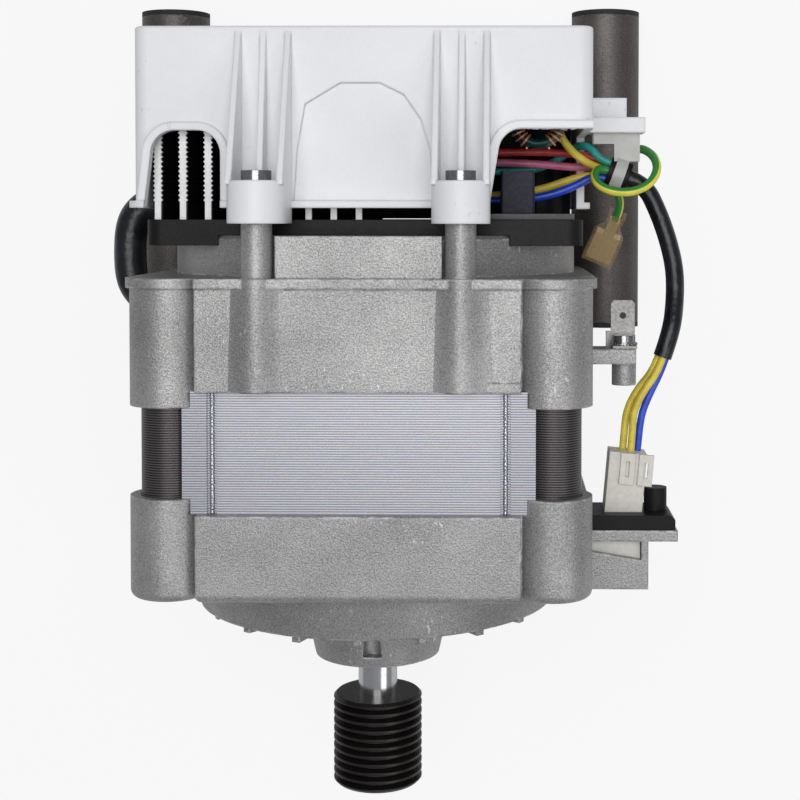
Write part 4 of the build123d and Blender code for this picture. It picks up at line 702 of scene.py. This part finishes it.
# The cover is moulded in satin white flame-proof plastic, with a few dark scuffs from handling.
# Four plated screws in its bosses hold it on the posts of the rear shield.
cover_white = finish(
    "cover_plastic", (0.86, 0.865, 0.88), (0.80, 0.805, 0.825), 0.42,
    grain_scale=1400.0, cloud_scale=25.0, cloud_share=0.7, depth=0.00002,
    rub=(0.30, 0.30, 0.31), rub_amount=0.45, edge=0.0008,
)
clothe(cover_white, "electronics_cover")

# Rough white burr of the same plastic runs along the top edge of the right opening, where the
# flash of the moulding was trimmed off.
burr_start = (0.0385, 0.1701, 0.0440)
burr_tree, burr_in, burr_out = growing_tree(
    "trimming_burr", {"Crumb Radius": "Float", "Crumbs": "Int", "Length": "Float"},
)
crumb = burr_tree.nodes.new("GeometryNodeMeshIcoSphere")
crumb.inputs["Subdivisions"].default_value = 1
burr_tree.links.new(burr_in.outputs["Crumb Radius"], crumb.inputs["Radius"])
crumb_size = burr_tree.nodes.new("FunctionNodeRandomValue")
crumb_size.data_type = "FLOAT_VECTOR"
crumb_size.inputs["Min"].default_value = (0.5, 0.25, 0.4)
crumb_size.inputs["Max"].default_value = (2.2, 0.9, 1.0)
crumb_size.inputs["Seed"].default_value = 3
spread_over(
    burr_tree, burr_in, burr_out, straight_row(burr_tree, burr_in, "Crumbs", "Length", "X"),
    crumb.outputs["Mesh"], cover_white, scale=crumb_size.outputs["Value"],
)
grown(
    "opening_burr", [burr_start], burr_tree,
    {"Crumb Radius": 0.00045, "Crumbs": 46, "Length": 0.0190}, "motor",
)

# The tray under the cover is moulded in black plastic, with a chute for the motor leads on the
# left; its black is deepened with painted shade. A dark wall with shallow ribs behind the boards
# is painted shade that keeps the space under the cover dark.
clothe(black_plastic, "electronics_tray")
wall_half = 0.0557
wall_steps = 44
wall_low, wall_high = 0.1472, 0.1745
rib_face, rib_gap_face, wall_back = -0.0270, -0.0276, -0.0284
wall_profile = []
for step in range(wall_steps + 1):
    x = -wall_half + step * 2 * wall_half / wall_steps
    wall_profile.append((x, rib_face if step % 4 < 2 else rib_gap_face))
for step in range(wall_steps, -1, -1):
    wall_profile.append((-wall_half + step * 2 * wall_half / wall_steps, wall_back))
wall_places = [(x, wall_low, z) for x, z in wall_profile]
wall_places += [(x, wall_high, z) for x, z in wall_profile]
around = len(wall_profile)
wall_faces = [
    (k, (k + 1) % around, (k + 1) % around + around, k + around) for k in range(around)
]
wall_faces += [
    (k, around - 1 - k, around - 2 - k, k + 1) for k in range(wall_steps)
]
wall_faces += [
    (k + around, k + 1 + around, 2 * around - 2 - k, 2 * around - 1 - k)
    for k in range(wall_steps)
]
wall_mesh = bpy.data.meshes.new("shade_wall")
wall_mesh.from_pydata(wall_places, [], wall_faces)
wall_mesh.materials.append(black_plastic)
wall = bpy.data.objects.new("shade_wall", wall_mesh)
scene.collection.objects.link(wall)
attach(wall, "motor")

# The heat sink is extruded aluminium, near black with painted shade except at its pale front ends.
# Its fins have fine teeth along both sides, and the power module sits on its base.
sink_metal = finish(
    "extruded_aluminium", (0.88, 0.88, 0.88), (0.72, 0.72, 0.72), 0.4, metallic=0.1,
    grain_scale=2600.0, depth=0.00003, edge=0.00015,
)
sink_low, sink_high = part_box("heat_sink")
pale_front_depth = 0.0012
sink_tree = sink_metal.node_tree
sink_shader = sink_tree.nodes["Principled BSDF"]
sink_place = sink_tree.nodes.new("ShaderNodeTexCoord")
sink_axes = sink_tree.nodes.new("ShaderNodeSeparateXYZ")
sink_pale_front = sink_tree.nodes.new("ShaderNodeMath")
sink_pale_front.operation = "GREATER_THAN"
sink_pale_front.inputs[1].default_value = sink_high[2] - pale_front_depth
sink_painted_shade = sink_tree.nodes.new("ShaderNodeMix")
sink_painted_shade.data_type = "RGBA"
sink_painted_shade.inputs["A"].default_value = (0.012, 0.012, 0.012, 1.0)
sink_tree.links.new(sink_place.outputs["Object"], sink_axes.inputs["Vector"])
sink_tree.links.new(sink_axes.outputs["Z"], sink_pale_front.inputs[0])
sink_tree.links.new(sink_pale_front.outputs["Value"], sink_painted_shade.inputs["Factor"])
sink_tree.links.new(
    sink_shader.inputs["Base Color"].links[0].from_socket, sink_painted_shade.inputs["B"]
)
sink_tree.links.new(sink_painted_shade.outputs["Result"], sink_shader.inputs["Base Color"])
clothe(sink_metal, "heat_sink")
teeth_tree, teeth_in, teeth_out = growing_tree("fin_teeth", {
    "Teeth": "Int", "Height": "Float", "Tooth Radius": "Float", "Depth": "Float",
})
tooth = teeth_tree.nodes.new("GeometryNodeMeshCylinder")
tooth.inputs["Vertices"].default_value = 4
teeth_tree.links.new(teeth_in.outputs["Tooth Radius"], tooth.inputs["Radius"])
teeth_tree.links.new(teeth_in.outputs["Depth"], tooth.inputs["Depth"])
spread_over(
    teeth_tree, teeth_in, teeth_out, straight_row(teeth_tree, teeth_in, "Teeth", "Height", "Y"),
    tooth.outputs["Mesh"], sink_metal,
)
fin_count = 9
first_fin, fin_pitch, fin_half = -0.0530, 0.00645, 0.0008
teeth_foot = sink_low[1] + 0.0050
tooth_length = sink_high[2] - sink_low[2] - 0.0001
fin_sides = []
for fin in range(fin_count):
    middle = first_fin + fin * fin_pitch
    for side in (-fin_half, fin_half):
        fin_sides.append((middle + side, teeth_foot, (sink_low[2] + sink_high[2]) / 2))
grown(
    "fin_teeth", fin_sides, teeth_tree,
    {"Teeth": 15, "Height": 0.0172, "Tooth Radius": 0.00042, "Depth": tooth_length}, "motor",
)

# The boards are glass-fibre laminate, near black with painted shade. Soldered to them are a film
# capacitor in a moulded box, dark blue and darkened further with painted shade, and two large
# capacitors in shrunk black sleeves.
clothe(finish(
    "board_painted_shade", (0.014, 0.014, 0.013), (0.008, 0.008, 0.008), 0.35,
    grain_scale=1200.0, depth=0.00003,
), "circuit_board", "filter_board")
clothe(finish(
    "capacitor_blue_and_shade", (0.004, 0.006, 0.024), (0.003, 0.004, 0.015), 0.6,
    grain_scale=900.0, depth=0.00003, edge=0.0004,
), "film_capacitor")
clothe(finish(
    "capacitor_sleeve", (0.020, 0.022, 0.030), (0.012, 0.013, 0.018), 0.25, depth=0.00002,
), "bulk_capacitors")

# The choke is a ferrite ring coated in dark green lacquer, with two windings of clear enamelled
# copper wire wound round it by hand. Each wire runs up to the board above.
clothe(finish(
    "ring_lacquer", (0.012, 0.075, 0.072), (0.006, 0.035, 0.036), 0.28,
    grain_scale=700.0, depth=0.00006,
), "choke_core")
# The copper is coloured brighter than bare copper: painted light for the choke in the shaded
# opening.
copper_with_painted_light = finish(
    "copper_with_painted_light", (1.0, 0.46, 0.22), (0.85, 0.32, 0.14), 0.3, metallic=0.4,
    grain_scale=1500.0, depth=0.00001,
)
core_low, core_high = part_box("choke_core")
choke_middle = (Vector(core_low) + Vector(core_high)) / 2
board_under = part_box("circuit_board")[0][1]
ring_radius = 0.00625
wire_out = 0.001775
wire_side = 0.003475
wire_half = 0.000285
turn_count = 11
steps_per_turn = 20
turn_step = math.radians(12.4)
lead_shift, lead_behind, lead_bend_behind = 0.0001, 0.0014, 0.0010
lead_straight, lead_bend = 0.0022, 0.0008
for side, first, way in (("left", 112.0, 1), ("right", 68.0, -1)):
    route = []
    for step in range(turn_count * steps_per_turn + 1):
        turns = step / steps_per_turn
        around = math.radians(first) + way * turn_step * turns
        tilt = 2 * math.pi * turns
        radius = ring_radius + wire_out * math.cos(tilt)
        route.append(choke_middle + Vector((
            radius * math.cos(around), radius * math.sin(around), wire_side * math.sin(tilt),
        )))
    rise = route[0]
    lead = [
        Vector((rise.x + lead_shift * way, board_under, rise.z - lead_behind)),
        Vector((rise.x + lead_shift * way, rise.y + lead_straight, rise.z - lead_behind)),
        Vector((rise.x, rise.y + lead_bend, rise.z - lead_bend_behind)),
    ]
    wound = bpy.data.curves.new("copper_" + side, "CURVE")
    wound.dimensions = "3D"
    strand = wound.splines.new("NURBS")
    places = lead + route
    strand.points.add(len(places) - 1)
    for point, place in zip(strand.points, places):
        point.co = (*place, 1.0)
    strand.order_u = 3
    strand.use_endpoint_u = True
    strand.resolution_u = 2
    wound.bevel_depth = wire_half
    wound.bevel_resolution = 2
    wound.use_fill_caps = True
    wound.materials.append(copper_with_painted_light)
    copper = bpy.data.objects.new("copper_" + side, wound)
    scene.collection.objects.link(copper)
    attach(copper, "motor")
    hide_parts("choke_winding_" + side)

# The earth tab is a punched blade of tinned steel under a plated pan-head screw with a toothed
# washer. A folded receptacle of tinned brass fits on it.
tinned = finish(
    "tinned_steel", (0.34, 0.335, 0.32), (0.20, 0.195, 0.19), 0.4, metallic=0.7,
    grain_scale=1500.0, cloud_scale=200.0, depth=0.00004, rub=(0.75, 0.75, 0.74),
    rub_amount=0.5, edge=0.0002,
)
clothe(tinned, "earth_tab")
clothe(finish(
    "tinned_brass", (0.85, 0.70, 0.42), (0.60, 0.46, 0.24), 0.3, metallic=0.5,
    grain_scale=1500.0, depth=0.00003, edge=0.0002,
), "earth_receptacle")
chrome = finish(
    "bright_plating", (0.42, 0.42, 0.43), (0.25, 0.25, 0.26), 0.16, metallic=1.0,
    grain_scale=2000.0, depth=0.00001, edge=0.0003,
)
clothe(chrome, "earth_screw", "cover_screws")
washer_tree, washer_in, washer_out = growing_tree(
    "washer_teeth", {"Teeth": "Int", "Radius": "Float", "Tooth": "Float"},
)
washer_ring = washer_tree.nodes.new("GeometryNodeMeshCircle")
washer_turn = washer_tree.nodes.new("GeometryNodeTransform")
washer_turn.inputs["Rotation"].default_value = (math.pi / 2, 0.0, 0.0)
washer_tooth = washer_tree.nodes.new("GeometryNodeMeshCone")
washer_tooth.inputs["Vertices"].default_value = 5
washer_tooth.inputs["Radius Top"].default_value = 0.0001
washer_spin = washer_tree.nodes.new("FunctionNodeRandomValue")
washer_spin.data_type = "FLOAT_VECTOR"
washer_spin.inputs["Min"].default_value = (1.2, -0.3, -0.3)
washer_spin.inputs["Max"].default_value = (1.8, 0.3, 0.3)
washer_spin.inputs["Seed"].default_value = 5
for size, socket in (
    ("Teeth", washer_ring.inputs["Vertices"]),
    ("Radius", washer_ring.inputs["Radius"]),
    ("Tooth", washer_tooth.inputs["Radius Bottom"]),
    ("Tooth", washer_tooth.inputs["Depth"]),
):
    washer_tree.links.new(washer_in.outputs[size], socket)
washer_tree.links.new(washer_ring.outputs["Mesh"], washer_turn.inputs["Geometry"])
spread_over(
    washer_tree, washer_in, washer_out, washer_turn.outputs["Geometry"],
    washer_tooth.outputs["Mesh"], chrome, rotation=washer_spin.outputs["Value"],
)
screw_low, screw_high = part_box("earth_screw")
washer_depth = 0.0022
washer_place = (
    (screw_low[0] + screw_high[0]) / 2, screw_high[1] - washer_depth,
    (screw_low[2] + screw_high[2]) / 2,
)
grown(
    "washer_teeth", [washer_place], washer_tree,
    {"Teeth": 26, "Radius": 0.0033, "Tooth": 0.00042}, "motor",
)

# On the bracket a black holder takes the ivory plug from above, and the white machine socket
# hangs under it. All three are moulded, the plug and socket in natural nylon, and clip in.
clothe(black_plastic, "connector_holder")
ivory = finish(
    "ivory_nylon", (0.78, 0.76, 0.69), (0.66, 0.64, 0.57), 0.4,
    grain_scale=900.0, cloud_scale=120.0, depth=0.00003, rub=(0.30, 0.29, 0.26),
    rub_amount=0.4, edge=0.0003,
)
clothe(ivory, "harness_plug")
clothe(finish(
    "white_nylon", (0.72, 0.71, 0.66), (0.62, 0.61, 0.56), 0.4,
    grain_scale=900.0, depth=0.00003, edge=0.0003,
), "machine_socket")

# A milky nylon clip under the arm straps the black cuff, where the harness and the earth lead
# come out. The receptacle on the lead sits in a clear brown boot.
clothe(black_plastic, "harness_cuff")
milky = mottled(
    "milky_nylon", (0.74, 0.74, 0.71), (0.52, 0.52, 0.49), 0.32, scale=300.0, detail=2.0,
    ends=(0.0, 1.0), strength=0.0,
)
milky_shader = milky.node_tree.nodes["Principled BSDF"]
milky_shader.inputs["Subsurface Weight"].default_value = 0.4
milky_shader.inputs["Subsurface Radius"].default_value = (0.002, 0.002, 0.002)
milky_shader.inputs["Transmission Weight"].default_value = 0.25
clothe(milky, "cable_clip")
amber = mottled(
    "clear_brown_boot", (0.70, 0.52, 0.30), (0.40, 0.27, 0.12), 0.14, scale=400.0,
    ends=(0.0, 1.0), strength=0.5, depth=0.0003,
)
amber.node_tree.nodes["Principled BSDF"].inputs["Alpha"].default_value = 0.22
clothe(amber, "receptacle_boot")

# The studio: a pale painted floor that the motor lies on, two soft lamps over it, one large and
# one from the right to lift the shadows, and a pale surround.
low_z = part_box("rear_end_shield")[0][2]
reach = 3
floor_mesh = bpy.data.meshes.new("floor")
floor_mesh.from_pydata(
    [(-reach, -reach, low_z), (reach, -reach, low_z), (reach, reach, low_z),
     (-reach, reach, low_z)], [], [(0, 1, 2, 3)],
)
floor = bpy.data.objects.new("floor", floor_mesh)
scene.collection.objects.link(floor)
floor_paint, floor_tree, floor_shader = shader("floor_paint", 0.9)
floor_shader.inputs["Base Color"].default_value = (0.85, 0.85, 0.85, 1.0)
floor_rays = floor_tree.nodes.new("ShaderNodeLightPath")
floor_white = floor_tree.nodes.new("ShaderNodeEmission")
floor_white.inputs["Color"].default_value = (0.97, 0.97, 0.97, 1.0)
floor_share = floor_tree.nodes.new("ShaderNodeMath")
floor_share.operation = "MULTIPLY"
floor_share.inputs[1].default_value = 0.9
floor_seen = floor_tree.nodes.new("ShaderNodeMixShader")
floor_tree.links.new(floor_rays.outputs["Is Camera Ray"], floor_share.inputs[0])
floor_tree.links.new(floor_share.outputs["Value"], floor_seen.inputs["Fac"])
floor_tree.links.new(floor_shader.outputs["BSDF"], floor_seen.inputs[1])
floor_tree.links.new(floor_white.outputs["Emission"], floor_seen.inputs[2])
floor_tree.links.new(
    floor_seen.outputs["Shader"], floor_tree.nodes["Material Output"].inputs["Surface"]
)
floor_mesh.materials.append(floor_paint)

motor_middle = Vector((0.0, 0.1, 0.0))
for name, place, size, power in (
    ("key_lamp", (0.02, 0.32, 1.0), 0.75, 5.5),
    ("fill_lamp", (0.65, -0.25, 0.75), 0.5, 1.4),
):
    lamp = bpy.data.lights.new(name, "AREA")
    lamp.size = size
    lamp.energy = power
    lamp_object = bpy.data.objects.new(name, lamp)
    lamp_object.location = place
    toward = motor_middle - Vector(place)
    lamp_object.rotation_euler = toward.to_track_quat("-Z", "Y").to_euler()
    scene.collection.objects.link(lamp_object)

surround = bpy.data.worlds.new("surround")
surround.use_nodes = True
scene.world = surround
sky = surround.node_tree.nodes["Background"]
sky.inputs["Color"].default_value = (0.9, 0.92, 0.95, 1.0)
sky.inputs["Strength"].default_value = 0.32
